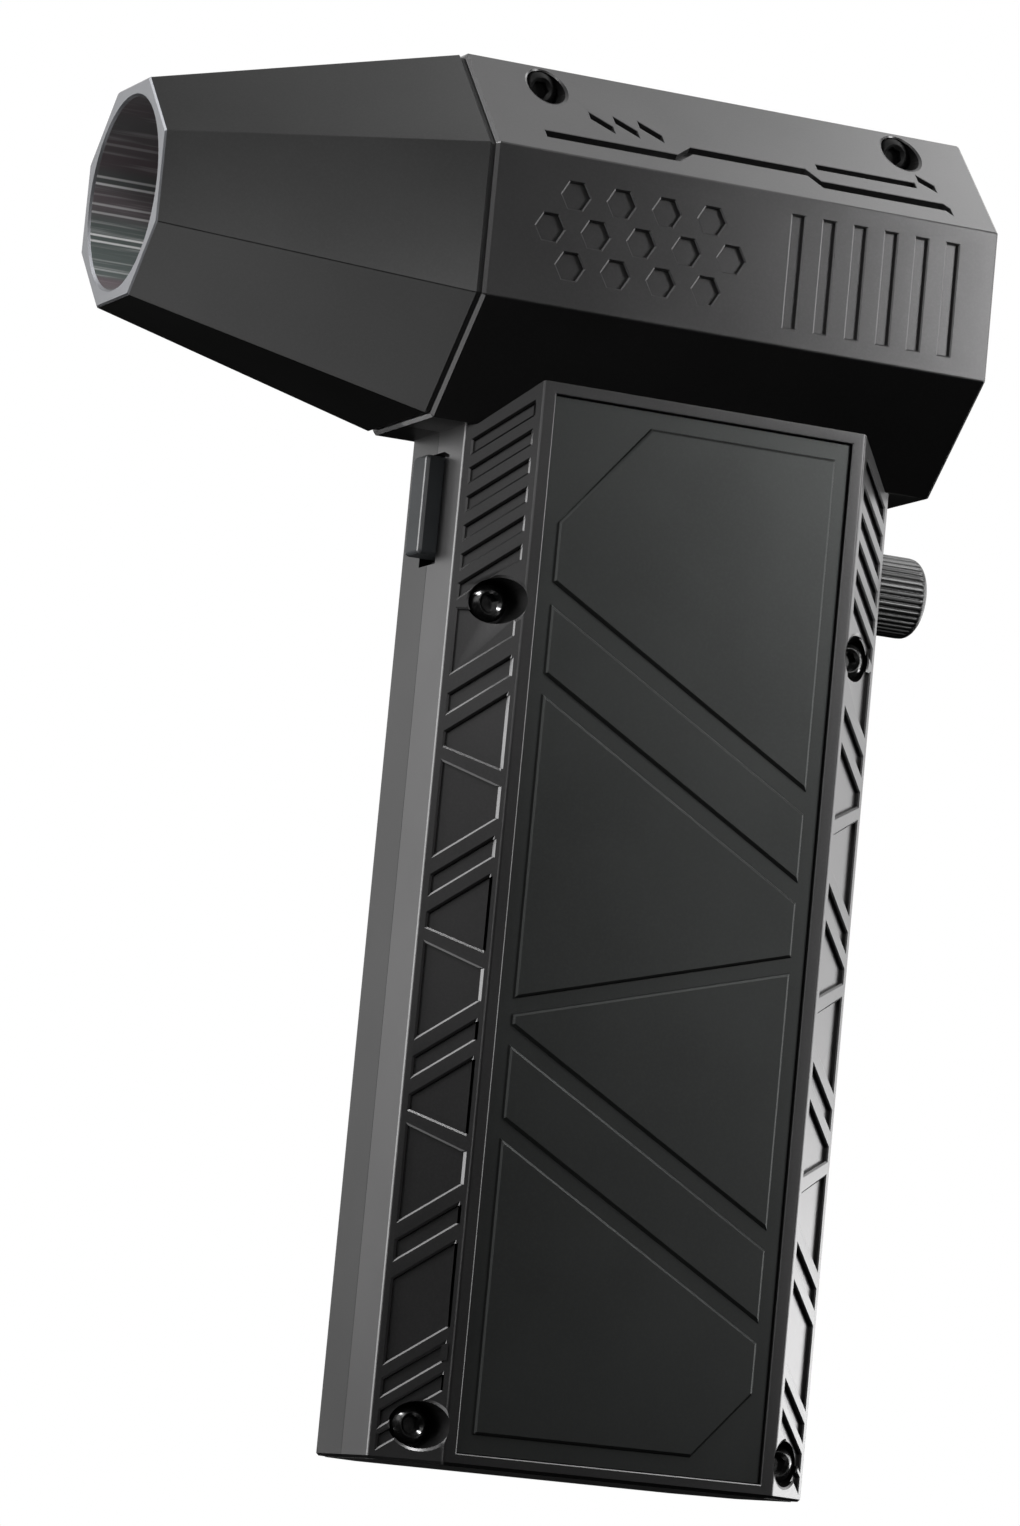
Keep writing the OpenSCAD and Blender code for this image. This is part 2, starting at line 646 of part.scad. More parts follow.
knob_r = knob_d / 2;
knob_outline = [for (i = [0:knob_ridges - 1], side = [0, 1, 2, 3])
    let (a = 360 / knob_ridges * (i + [0, 0.3, 0.5, 0.8][side]), r = side < 2 ? knob_r : knob_r - 0.3)
    [r * cos(a), r * sin(a)]];

module speed_knob() color("#8f9094") head_frame() translate([0, 0, knob_z]) difference() {
    intersection() {
        translate([knob_x, 0, 0]) rotate([0, 90, 0]) linear_extrude(knob_len) polygon(knob_outline);
        turned([[knob_x, 0], [knob_x, knob_r - 0.4], [knob_x + 0.4, knob_r + 0.01],
                [knob_x + knob_len - 0.9, knob_r + 0.01], [knob_x + knob_len, knob_r - 0.9],
                [knob_x + knob_len, 0]]);
    }
    rod(knob_x - eps, knob_x + 6.1, shaft_r);
    translate([knob_x + 3.3, 0, 0]) rotate([-90, 0, 0]) cylinder(h = 6, r = small_screw_r);
}

module knob_set_screw() color("#6a6a6e") head_frame() translate([knob_x + 3.3, 0, knob_z])
    rotate([-90, 0, 0]) difference() {
        translate([0, 0, shaft_r]) cylinder(h = 2.6, r = small_screw_r);
        translate([0, 0, 3]) cylinder(h = 2, r = 0.5, $fn = 6);
        rotate([0, 90, 0]) translate([0, 0, -2]) cylinder(h = 4, r = shaft_r);
    }

module potentiometer_shaft() color("#c4c4c8") head_frame()
    translate([0, 0, knob_z]) rod(pot_x[0] + 2.6, knob_x + 6.1, shaft_r);

module speed_potentiometer() color("#2c4a7a") head_frame() translate([0, 0, knob_z]) difference() {
    union() {
        box(pot_x, [-4.9, 4.9], [-4.9, 4.9]);
        rod(pot_x[1] - 0.5, bushing_end, bushing_r);
    }
    rod(pot_x[0] + 2.3, bushing_end + eps, shaft_r + 0.06);
}

module potentiometer_nut() color("#c9c9cc") head_frame() translate([0, 0, knob_z]) difference() {
    translate([grip_rear - end_wall - 1.5, 0, 0]) rotate([0, 90, 0])
        cylinder(h = 1.5, r = 4 / cos(30), $fn = 6);
    rod(pot_x[1], grip_rear, bushing_r);
}

// ---- Battery ----

module cell(x) translate([x, 0, cell_z]) {
    cylinder(h = cell_len - 0.6, d = cell_d);
    cylinder(h = cell_len, d = 8);
}

module battery_cell_front() color("#2f6f8f") head_frame() cell(cell_x[0]);

module battery_cell_rear() color("#2f6f8f") head_frame() cell(cell_x[1]);

// A plate across the grip's cavity that stays clear of the lamps behind the battery
module holder_plate(z0, z1) intersection() {
    grip_prism(z0, z1, end_wall + 0.2, panel_y - cavity_y + 0.2, 1.4);
    box([0, 56.8], [-20, 20], [z0, z1]);
}

module cell_pockets(z0, z1) for (x = cell_x) translate([x, 0, z0]) cylinder(h = z1 - z0, r = cell_d / 2 + 0.02);

module lower_cell_holder() color("#26282a") head_frame() difference() {
    holder_plate(-136, cell_z + 3.5);
    cell_pockets(cell_z, cell_z + 4);
    box([cell_x[0] - 4.2, cell_x[1] + 4.2], [-3.6, 3.6], [cell_z - strip_t, cell_z + 1]);
}

module upper_cell_holder() color("#26282a") head_frame() difference() {
    holder_plate(cell_z + cell_len - 3.5, cell_z + cell_len + 1.2);
    cell_pockets(cell_z + cell_len - 4, cell_z + cell_len);
    for (x = cell_x) translate([x, 0, cell_z + cell_len - 1]) cylinder(h = 3, r = 5.5);
}

module cell_links() color("#c9c2ae") head_frame() {
    box([cell_x[0] - 4, cell_x[1] + 4], [-3.5, 3.5], [cell_z - strip_t, cell_z]);
    for (x = cell_x) box([x - 3, x + 3], [-3, 3], [cell_z + cell_len, cell_z + cell_len + strip_t]);
}

// ---- Electronics ----

charge_board_y = [-3.2, -1.6];
driver_board_y = [5.6, 7.2];
charge_posts = [[38, -55.5], [50, -50.5]];
driver_posts = [[23, -31], [47, -58]];

module charge_board() color("#1f5a36") head_frame() difference() {
    box([34, 58.4], charge_board_y, [-61.5, -48.4]);
    for (p = charge_posts) cross_rod(p, -5, 0, small_screw_r + 0.05);
}

module charge_port() color("#b8b8bc") head_frame() {
    difference() {
        port_outline(1.6, 54.2, grip_rear - 0.3);
        port_outline(1.3, 55.4, grip_rear);
    }
    box([54.8, grip_rear - 1.2], [-0.35, 0.35], [port_z - 3.3, port_z + 3.3]);
}

module battery_light_pipe() color("#d8e6ee") head_frame() {
    box([57.4, grip_rear - end_wall], [-1.6, 1.6], [lamp_z - 6, lamp_z + 6]);
    for (i = [-1.5:1.5]) translate([0, 0, lamp_z + i * lamp_pitch])
        rod(grip_rear - end_wall - 0.2, grip_rear - 0.1, 0.95);
}

module driver_board() color("#1f5a36") head_frame() difference() {
    box([20.4, 50], driver_board_y, [-61, -27]);
    for (p = driver_posts) cross_rod(p, 5, 8, small_screw_r + 0.05);
}

module driver_parts() color("#202124") head_frame() {
    for (x = [31, 37, 43], z = [-48, -40.5])
        box([x, x + 5], [driver_board_y[0] - 1, driver_board_y[0]], [z, z + 6]);
    box([24, 31], [driver_board_y[0] - 1.1, driver_board_y[0]], [-58.5, -51.5]);
    translate([26.5, driver_board_y[0] - 3.5, -48]) cylinder(h = 12, r = 3.5);
}

module board_screws() color("#8c8c90") head_frame() {
    for (p = driver_posts) {
        cross_rod(p, driver_board_y[0] - 1.2, driver_board_y[0], 1.8);
        cross_rod(p, driver_board_y[0], 11.2, small_screw_r);
    }
    for (p = charge_posts) {
        cross_rod(p, charge_board_y[1], charge_board_y[1] + 1.2, 1.8);
        cross_rod(p, -9.2, charge_board_y[1], small_screw_r);
    }
}

// Three phase wires from the motor down to the driver board
module motor_wires() color("#2b2b2b") head_frame() for (i = [-1:1])
    swept([[wire_x, 1.6 * i, -6.2], [wire_x, 1.6 * i, -12], [wire_x, 1.6 * i, -22],
           [wire_x + 0.4 * i, 1.6 * i + 0.4, -25.5], [wire_x + 1.5 * i, 2.6 + 0.6 * i, -29],
           [wire_x + 2 * i, 3.4, -31.6], [wire_x + 2 * i, 4.4, -32.4],
           [wire_x + 2 * i, driver_board_y[0], -32.4]],
          wire_r, [1, 0, 0]);

// Two leads from the cells' top tabs to the charging board
module battery_leads() color("#a62a22") head_frame() for (x = cell_x)
    swept([[x, 0, cell_z + cell_len + strip_t], [x, 0, -62.8], [x + 0.6, 0.2, -61.4],
           [x + 3, 0.4, -60], [x < 30 ? 35.2 : x + 5, 0.2, -59.2], [x < 30 ? 36.4 : x + 6.2, -0.6, -58.8],
           [x < 30 ? 36.4 : x + 6.2, charge_board_y[1], -58.8]],
          wire_r, [0.1, 0.3, 1]);

// Leads from the trigger board and the potentiometer to the driver board
module signal_leads() color("#d9d9d9") head_frame() {
    for (z = [-33, -35]) swept([[board_x + board_t, 2, z], [19.6, 2, z], [21, 2.8, z - 0.6],
        [22.2, 4, z - 1.2], [22.6, 4.8, z - 1.4], [22.6, driver_board_y[0], z - 1.4]], 0.4, [0, 0, 1]);
    for (z = [-29.5, -32]) swept([[pot_x[0], 3, z], [49.6, 3, z], [48.4, 3.4, z - 0.4],
        [47.4, 4.2, z - 0.8], [47, 4.8, z - 1], [47, driver_board_y[0], z - 1]], 0.4, [0, 0, 1]);
}

left_shell();
right_shell();
left_side_panel();
right_side_panel();
nozzle();
nozzle_liner();
nozzle_gasket();
rear_cap();
intake_grille();
rear_cap_screws();
case_screws();
foot_pad();
fan_duct();
duct_damper_rings();
tail_cone();
motor_can();
motor_end_cap();
motor_screws();
stator_core();
stator_windings();
front_bearing();
rear_bearing();
motor_shaft();
rotor_magnet();
impeller();
spinner();
trigger_button();
trigger_spring();
switch_plunger();
trigger_switch();
trigger_board();
speed_knob();
knob_set_screw();
potentiometer_shaft();
speed_potentiometer();
potentiometer_nut();
battery_cell_front();
battery_cell_rear();
upper_cell_holder();
lower_cell_holder();
cell_links();
charge_board();
charge_port();
battery_light_pipe();
driver_board();
driver_parts();
board_screws();
motor_wires();
battery_leads();
signal_leads();
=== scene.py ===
import json
import math

import bmesh
import bpy
from mathutils import Euler, Matrix, Vector

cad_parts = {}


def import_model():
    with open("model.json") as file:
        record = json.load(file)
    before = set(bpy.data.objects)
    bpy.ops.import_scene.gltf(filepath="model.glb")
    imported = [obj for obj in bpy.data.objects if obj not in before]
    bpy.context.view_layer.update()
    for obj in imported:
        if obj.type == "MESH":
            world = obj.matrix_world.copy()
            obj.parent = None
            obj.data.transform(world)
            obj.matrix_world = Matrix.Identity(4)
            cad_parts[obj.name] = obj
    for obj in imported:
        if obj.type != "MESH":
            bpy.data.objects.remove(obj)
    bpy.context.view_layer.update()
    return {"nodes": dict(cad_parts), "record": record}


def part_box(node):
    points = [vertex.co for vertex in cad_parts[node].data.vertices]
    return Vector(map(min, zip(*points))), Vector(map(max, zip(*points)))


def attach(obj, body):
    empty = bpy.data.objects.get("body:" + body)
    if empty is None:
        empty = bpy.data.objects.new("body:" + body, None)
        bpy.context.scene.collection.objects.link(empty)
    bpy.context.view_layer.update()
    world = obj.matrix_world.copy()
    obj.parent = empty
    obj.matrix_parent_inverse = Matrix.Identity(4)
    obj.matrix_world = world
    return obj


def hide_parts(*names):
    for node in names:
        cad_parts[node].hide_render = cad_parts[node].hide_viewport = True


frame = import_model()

# ---- Sizes, in millimetres. x runs from the joint between nozzle and head, z from the head's axis ----

MM = 0.001
GASKET_LOW, GASKET_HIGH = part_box("nozzle_gasket")
SHELL_LOW, SHELL_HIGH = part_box("left_shell")
NOZZLE_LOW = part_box("nozzle")[0]
KNOB_LOW, KNOB_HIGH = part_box("speed_knob")

JOINT_X = GASKET_LOW.x / MM
AXIS_Z = (GASKET_LOW.z + GASKET_HIGH.z) / 2 / MM
HEAD_R = -SHELL_LOW.y / MM                  # half the head's size across its flats
HEAD_X = (GASKET_HIGH.x / MM - JOINT_X, SHELL_HIGH.x / MM - JOINT_X)
HEAD_EDGE = HEAD_R * math.tan(math.pi / 8)  # half the width of one flat
SHELL_FOOT = SHELL_LOW.z / MM - AXIS_Z
MOUTH_X = NOZZLE_LOW.x / MM - JOINT_X
TIP_R = 13.0                                # half the nozzle's size across its flats, at the mouth
BASE_R = HEAD_R - 0.3                       # and at the joint
OUTLET_R = 11.5

GRIP_X = (5.5, 61.6)
PANEL_Y = 14.65                             # half the grip's thickness
FACE_Y = 8.1                                # half the width of its front and rear faces
CHAMFER = 6.9                               # length of its corner chamfers along x
CHAMFER_TURN = math.atan2(PANEL_Y - FACE_Y, CHAMFER)
CHAMFER_OUT = [Vector((sign * math.sin(CHAMFER_TURN), -math.cos(CHAMFER_TURN), 0)) for sign in (-1, 1)]
INLAY_X = (14.0, 53.1)
INLAY_Z = (SHELL_FOOT + 1.4, -17.9)
INLAY_STEP = 0.5                            # how far the inlay lies under the grip's side
INLAY_T = 1.0
PLATE_H = 0.4                               # height of the raised plates on it
TRIGGER_Z = -31.2
TRIGGER_W = 4.4
TRIGGER_H = 12.0
KNOB_Z = -33.0
KNOB_R = (KNOB_HIGH.y - KNOB_LOW.y) / 2 / MM
KNOB_X = (KNOB_LOW.x / MM - JOINT_X, KNOB_HIGH.x / MM - JOINT_X)

HEAD_SCREWS = ((10.1, 19.0), (57.2, 19.0))
GRIP_SCREWS = ((10.1, -43.0), (57.3, -43.2), (10.1, -140.0), (57.3, -140.1))
HEAD_SCREW_FLOOR = -7.9
GRIP_SCREW_FLOOR = -7.5
HEAD_SINK_R = 2.4                           # counterbores
GRIP_SINK_R = 2.75
GRIP_EDGE_R = 0.8                           # rounding of the long edges
HEAD_EDGE_R = 0.5
NOZZLE_EDGE_R = 0.3
HEAD_BEVEL = 0.4                            # bevel round the head where the nozzle meets it
REAR_ROUNDING = 0.38                        # rounding round the head's rear end
FOOT_BEVEL = 0.3

CREASE = math.radians(18)                   # edges sharper than this stay crisp
LEAN = math.radians(12.5)                   # the most that a smoothed normal may lean off its face
SKIN = 0.003                                # how far a hull stands outside the faces that it leaves alone
TO_LOCAL = Matrix.Translation((-JOINT_X, 0, -AXIS_Z)) @ Matrix.Scale(1 / MM, 4)
TO_MODEL = TO_LOCAL.inverted()
MIRROR = Matrix.Scale(-1, 4, (0, 1, 0))


# ---- Outlines ----

def anticlockwise(outline):
    """The outline, running anticlockwise."""
    doubled = sum(a[0] * b[1] - b[0] * a[1] for a, b in zip(outline, outline[1:] + outline[:1]))
    return list(outline) if doubled > 0 else list(outline)[::-1]


def grown(outline, distance):
    """The outline moved outwards by a distance, with mitred corners."""
    points = [Vector(p) for p in anticlockwise(outline)]
    moved = []
    for i, here in enumerate(points):
        before = (here - points[i - 1]).normalized()
        after = (points[(i + 1) % len(points)] - here).normalized()
        out_before = Vector((before.y, -before.x))
        out_after = Vector((after.y, -after.x))
        mitre = (out_before + out_after) / (1 + out_before.dot(out_after))
        moved.append(here + mitre * distance)
    return moved


def rounded(outline, radius, steps=4):
    """The outline with every corner turned into an arc."""
    points = [Vector(p) for p in anticlockwise(outline)]
    made = []
    for i, here in enumerate(points):
        back = (points[i - 1] - here).normalized()
        ahead = (points[(i + 1) % len(points)] - here).normalized()
        half = back.angle(ahead) / 2
        centre = here + (back + ahead).normalized() * radius / math.sin(half)
        first = here + back * radius / math.tan(half) - centre
        last = here + ahead * radius / math.tan(half) - centre
        turn = first.angle_signed(last)
        for k in range(steps + 1):
            angle = -turn * k / steps
            made.append(centre + Matrix.Rotation(angle, 2) @ first)
    return made


def ring(radius, count=48):
    """Points of a circle."""
    return [Vector((radius * math.cos(a), radius * math.sin(a)))
            for a in (2 * math.pi * i / count for i in range(count))]


def octagon(flat):
    """Corners of an octagon with its flats that far from the middle."""
    corner = flat / math.cos(math.pi / 8)
    return [Vector((corner * math.cos(a), corner * math.sin(a)))
            for a in (math.pi / 8 + math.pi / 4 * i for i in range(8))]


def grip_plan(out=0.0):
    """Plan of the grip, grown by a distance."""
    x0, x1 = GRIP_X
    corners = [(x0, -FACE_Y), (x0 + CHAMFER, -PANEL_Y), (x1 - CHAMFER, -PANEL_Y), (x1, -FACE_Y),
               (x1, FACE_Y), (x1 - CHAMFER, PANEL_Y), (x0 + CHAMFER, PANEL_Y), (x0, FACE_Y)]
    return grown(corners, out)


# ---- Solids ----

def turn_outwards(faces):
    """Turns the faces of one closed solid so that they look outwards."""
    for face in faces:
        face.normal_update()
    if sum(f.calc_center_median().dot(f.normal) * f.calc_area() for f in faces) < 0:
        for face in faces:
            face.normal_flip()


def solid(bm, name):
    """An object from a bmesh."""
    mesh = bpy.data.meshes.new(name)
    bm.to_mesh(mesh)
    bm.free()
    made = bpy.data.objects.new(name, mesh)
    bpy.context.scene.collection.objects.link(made)
    return made


def add_loft(bm, rings):
    """Adds a closed solid through rings that have the same number of points."""
    layers = [[bm.verts.new(p) for p in points] for points in rings]
    count = len(layers[0])
    faces = [bm.faces.new(layers[0][::-1]), bm.faces.new(layers[-1])]
    for low, high in zip(layers, layers[1:]):
        for i in range(count):
            j = (i + 1) % count
            faces.append(bm.faces.new((low[i], low[j], high[j], high[i])))
    turn_outwards(faces)


def loft(rings, name="tool"):
    bm = bmesh.new()
    add_loft(bm, rings)
    return solid(bm, name)


def along_x(stations):
    """Rings across the x axis from pairs of x and a (y, z) outline."""
    return [[(x, p[0], p[1]) for p in outline] for x, outline in stations]


def along_z(stations):
    return [[(p[0], p[1], z) for p in outline] for z, outline in stations]


def along_y(stations):
    return [[(p[0], y, p[1]) for p in outline] for y, outline in stations]


def shifted(outline, x, y):
    return [(p[0] + x, p[1] + y) for p in outline]


def cad_copy(node, name):
    """A copy of a CAD node's mesh, in millimetres."""
    bm = bmesh.new()
    bm.from_mesh(frame["nodes"][node].data)
    bm.transform(TO_LOCAL)
    bmesh.ops.remove_doubles(bm, verts=bm.verts, dist=0.002)
    return solid(bm, name)


def apply_steps(piece):
    """Bakes the modifiers of a piece into its mesh."""
    graph = bpy.context.evaluated_depsgraph_get()
    made = bpy.data.meshes.new_from_object(piece.evaluated_get(graph))
    piece.modifiers.clear()
    worn = piece.data
    piece.data = made
    bpy.data.meshes.remove(worn)


def carve(piece, tool, operation="DIFFERENCE"):
    """Applies an exact boolean and removes the tool."""
    step = piece.modifiers.new("carve", "BOOLEAN")
    step.operation = operation
    step.solver = "EXACT"
    step.object = tool
    apply_steps(piece)
    bpy.data.objects.remove(tool)


def transform(piece, matrix):
    """Moves the mesh itself, and keeps its faces outward under a mirror."""
    piece.data.transform(matrix)
    if matrix.determinant() < 0:
        piece.data.flip_normals()


def shade(piece):
    """Smooth faces with crisp edges, and normals that leave the flats flat."""
    mesh = piece.data
    mesh.polygons.foreach_set("use_smooth", [True] * len(mesh.polygons))
    mesh.set_sharp_from_angle(angle=CREASE)
    step = piece.modifiers.new("flat_normals", "WEIGHTED_NORMAL")
    step.keep_sharp = True
    step.weight = 80
    apply_steps(piece)
    mesh = piece.data
    smooth = [corner.vector.copy() for corner in mesh.corner_normals]
    for face in mesh.polygons:
        for i in face.loop_indices:
            if smooth[i].dot(face.normal) < math.cos(LEAN):
                smooth[i] = face.normal.copy()
    mesh.normals_split_custom_set(smooth)


def fit_out(piece, body, materials, node):
    """Puts a finished piece into the model in place of a CAD node."""
    piece.data.transform(TO_MODEL)
    bm = bmesh.new()
    bm.from_mesh(piece.data)
    bmesh.ops.remove_doubles(bm, verts=bm.verts, dist=1e-6)
    bmesh.ops.dissolve_limit(bm, angle_limit=math.radians(0.4), verts=bm.verts, edges=bm.edges,
                             delimit={"MATERIAL"})
    bm.to_mesh(piece.data)
    bm.free()
    piece.data.materials.clear()
    for material in materials:
        piece.data.materials.append(material)
    shade(piece)
    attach(piece, body)
    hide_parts(node)


# ---- Engraved patterns, as in the part's source ----

POCKET_U = (1.15, 8.35)                     # where a pocket starts and ends across the chamfer
SLANT = 4.7                                 # how far a bar rises across the chamfer
SLOT_PITCH = 3.46
UNIT_PITCH = 21.5


def pocket(left, right, u=POCKET_U):
    return [(u[0], left[0]), (u[1], right[0]), (u[1], right[1]), (u[0], left[1])]


def slanted_bar(z, height):
    return pocket((z, z - height), (z + SLANT, z + SLANT - height))


def chamfer_pattern():
    """Bars, triangles and units down a chamfer of the grip; the lowest pocket comes last."""
    made = [slanted_bar(-23.95 - SLOT_PITCH * i, 1.45) for i in range(6)]
    made.append(pocket((-44.2, -51.75), (-44.2, -47.05)))
    made += [slanted_bar(-54.45 - UNIT_PITCH * i, 2.1) for i in range(4)]
    for i in range(3):
        made.append(shifted(pocket((-58.9, -60.5), (-54.2, -62.9)), 0, -UNIT_PITCH * i))
        made.append(shifted(pocket((-62.4, -73.5), (-65.1, -68.8)), 0, -UNIT_PITCH * i))
    made.append(pocket((-123.4, -133.1), (-118.7, -128.4)))
    made.append(slanted_bar(-135.1, 1.85))
    made.append(slanted_bar(-138.7, 1.8))
    made.append(pocket((-141.5, -143), (-140, -141.5), u=(POCKET_U[0], 3.5)))
    return made


HEX_PITCH = 5.87
HEX_ROW = 4.23
HEX_R = 1.8
HEX_MIDDLE = (19.9, 0.1)


def honeycomb():
    """Three rows of hexagons, four, five and four."""
    made = []
    for row in (-1, 0, 1):
        for i in range(5 if row == 0 else 4):
            x = HEX_MIDDLE[0] + (i - 2 + (0 if row == 0 else 0.5)) * HEX_PITCH
            z = HEX_MIDDLE[1] + row * HEX_ROW
            made.append([(x + HEX_R * math.cos(math.pi / 3 * k), z + HEX_R * math.sin(math.pi / 3 * k))
                         for k in range(6)])
    return made


SIDE_SLOT = (1.6, 6.8)                      # width and half height
SIDE_SLOT_X = 39.1
SIDE_SLOT_PITCH = 4.12


def side_slots():
    width, half = SIDE_SLOT
    starts = [SIDE_SLOT_X + SIDE_SLOT_PITCH * i for i in range(6)]
    return [[(x, -half), (x + width, -half), (x + width, half), (x, half)] for x in starts]


def band(points, width):
    """A flat band along a run of points that all go the same way."""
    top = [(p[0], p[1] + width / 2) for p in points]
    return top + [(p[0], p[1] - width / 2) for p in points[::-1]]


def slope_grooves():
    """The stepped groove, the thin one over it, three slanted bars and the short one at the rear."""
    stepped = [(7.6, 3.7), (24.8, 3.7), (27, 5.8), (42.2, 5.8), (43.8, 3.7), (60.2, 3.7), (60.9, 2.9)]
    made = [band(stepped, 1.35), band([(44, 7.4), (57.3, 7.4)], 1.05)]
    made += [band([(x, 9.4), (x + 2.6, 7.2)], 1.35) for x in (14.6, 17.8, 21)]
    return made + [band([(58, 9), (60, 7.4)], 1.3)]


PLATE_X = (16.1, 51.0)
PLATE_DROP = 20.2                           # how far a slanted plate falls from front to rear


def slanted_plate(z, height):
    x0, x1 = PLATE_X
    return [(x0, z), (x1, z - PLATE_DROP), (x1, z - PLATE_DROP - height), (x0, z - height)]


def inlay_plates():
    """The raised plates of an inlay, from the top down."""
    x0, x1 = PLATE_X
    return [
        [(26.8, -20.2), (x1, -20.2), (x1, -60.2), (x0, -40), (x0, -33)],
        slanted_plate(-43, 8),
        [(x0, -53.7), (x1, -73.9), (x1, -80.3), (x0, -89.4)],
        [(x0, -91.5), (x1, -82.4), (x1, -112.8), (x0, -92.6)],
        slanted_plate(-95.2, 8.4),
        [(x0, -106.2), (x1, -126.4), (x1, -132.4), (43.8, -140.4), (x0, -140.4)],
    ]


# ---- Frames of the engraved faces of the -Y half: (along, depth inwards, up) ----

ON_PANEL = Matrix.Translation((0, -PANEL_Y, 0))
ON_HEAD_SIDE = Matrix.Translation((0, -HEAD_R, 0))
ON_HEAD_SLOPE = Matrix.Translation((0, -HEAD_R, HEAD_EDGE)) @ Matrix.Rotation(-math.pi / 4, 4, "X")
ON_FRONT_CHAMFER = Matrix.Translation((GRIP_X[0], -FACE_Y, 0)) @ Matrix.Rotation(-CHAMFER_TURN, 4, "Z")
ON_REAR_CHAMFER = (Matrix.Translation((GRIP_X[1], -FACE_Y, 0)) @ Matrix.Scale(-1, 4, (1, 0, 0))
                   @ Matrix.Rotation(-CHAMFER_TURN, 4, "Z"))


# How deep and how wide the bevel round each kind of engraving is
POCKET_LIP = (0.15, 0.25)
HOLE_LIP = (0.12, 0.2)
GROOVE_LIP = (0.06, 0.1)
INLAY_LIP = (0.08, 0.13)
SINK_LIP = (0.18, 0.32)                     # counterbores
FAR_LIP = (0.2, 0.32)                       # rear ends of the pockets
WIDE_FAR_LIP = (0.3, 0.5)
WIDE_FAR_Z = (-130, -46)                    # between these heights the far lips are the wide ones
TOOL_HIGH = -0.15                           # how far a tool stands over the face that it cuts
OVERLAP = 0.02                              # how far a tool reaches into the pocket that it bevels


def placed(face, outline, depth):
    """Points of an outline at a depth below a face."""
    return [face @ Vector((p[0], depth, p[1])) for p in outline]


def add_lip(bm, face, outline, lip, drift=(0, 0)):
    """Adds a tool that bevels the lip of a pocket whose middle drifts as it goes in."""
    sink, spread = lip
    reach = spread * (sink - TOOL_HIGH) / sink
    for_low = shifted(grown(outline, -OVERLAP), drift[0] * sink, drift[1] * sink)
    for_high = shifted(grown(outline, reach), drift[0] * TOOL_HIGH, drift[1] * TOOL_HIGH)
    add_loft(bm, [placed(face, for_low, sink), placed(face, for_high, TOOL_HIGH)])


def add_far_lip(bm, face, outline, lip):
    """Adds a tool that bevels only the wall of a pocket that is furthest along the face."""
    sink, spread = lip
    (u0, high0), (u1, high1), (_, low1), (_, low0) = outline
    inner = u1 - 0.3
    share = (inner - u0) / (u1 - u0)
    near = [(inner, low0 + share * (low1 - low0)), (inner, high0 + share * (high1 - high0))]
    for_low = near + [(u1 - OVERLAP, high1), (u1 - OVERLAP, low1)]
    reach = u1 + spread * (sink - TOOL_HIGH) / sink
    for_high = near + [(reach, high1 + 0.1), (reach, low1 - 0.1)]
    add_loft(bm, [placed(face, for_low, sink), placed(face, for_high, TOOL_HIGH)])


def screw_rims():
    """Face, ellipse and drift of each counterbore's mouth."""
    lean = math.cos(CHAMFER_TURN)
    made = []
    for x, z in HEAD_SCREWS:
        up = (z - HEAD_EDGE) * math.sqrt(2)
        oval = [(x + p.x, up + p.y * math.sqrt(2)) for p in ring(HEAD_SINK_R)]
        made.append((ON_HEAD_SLOPE, oval, (0, 1)))
    for x, z in GRIP_SCREWS:
        front = x - GRIP_X[0] < CHAMFER
        u = (x - GRIP_X[0] if front else GRIP_X[1] - x) / lean
        oval = [(u + p.x / lean, z + p.y) for p in ring(GRIP_SINK_R)]
        made.append((ON_FRONT_CHAMFER if front else ON_REAR_CHAMFER, oval, (-math.tan(CHAMFER_TURN), 0)))
    return made


def lip_tools():
    """Bevelled lips for every engraving of the -Y half but the lowest pockets."""
    bm = bmesh.new()
    for face in (ON_FRONT_CHAMFER, ON_REAR_CHAMFER):
        for outline in chamfer_pattern()[:-1]:
            add_lip(bm, face, outline, POCKET_LIP)
    for outline in honeycomb() + side_slots():
        add_lip(bm, ON_HEAD_SIDE, outline, HOLE_LIP)
    for outline in slope_grooves():
        add_lip(bm, ON_HEAD_SLOPE, outline, GROOVE_LIP)
    rim = [(INLAY_X[0], INLAY_Z[0]), (INLAY_X[1], INLAY_Z[0]),
           (INLAY_X[1], INLAY_Z[1]), (INLAY_X[0], INLAY_Z[1])]
    add_lip(bm, ON_PANEL, rim, INLAY_LIP)
    return solid(bm, "tool")


def last_lip_tools():
    """Lips of the lowest pockets, which stand too near to the bars over them to be cut together."""
    bm = bmesh.new()
    for face in (ON_FRONT_CHAMFER, ON_REAR_CHAMFER):
        add_lip(bm, face, chamfer_pattern()[-1], POCKET_LIP)
    return solid(bm, "tool")


def far_lip_tools():
    """Wider bevels at the rear ends of the front chamfer's pockets."""
    bm = bmesh.new()
    for outline in chamfer_pattern()[:-1]:
        wide = WIDE_FAR_Z[0] < outline[0][1] < WIDE_FAR_Z[1]
        add_far_lip(bm, ON_FRONT_CHAMFER, outline, WIDE_FAR_LIP if wide else FAR_LIP)
    return solid(bm, "tool")


def rim_tools():
    """Bevels round the mouths of the counterbores."""
    bm = bmesh.new()
    for face, oval, drift in screw_rims():
        add_lip(bm, face, oval, SINK_LIP, drift)
    return solid(bm, "tool")


SEAM_GROOVE = 0.045                         # depth of the V along the seam


def groove_bar(ends):
    """A square bar turned by 45 degrees, whose corner cuts a V along a seam."""
    start, end = Vector(ends[0]), Vector(ends[1])
    run = (end - start).normalized()
    side = Vector((0, 1, 0))
    out = run.cross(side)
    corners = [way * SEAM_GROOVE for way in (side, out, -side, -out)]
    return [[start + c for c in corners], [end + c for c in corners]]


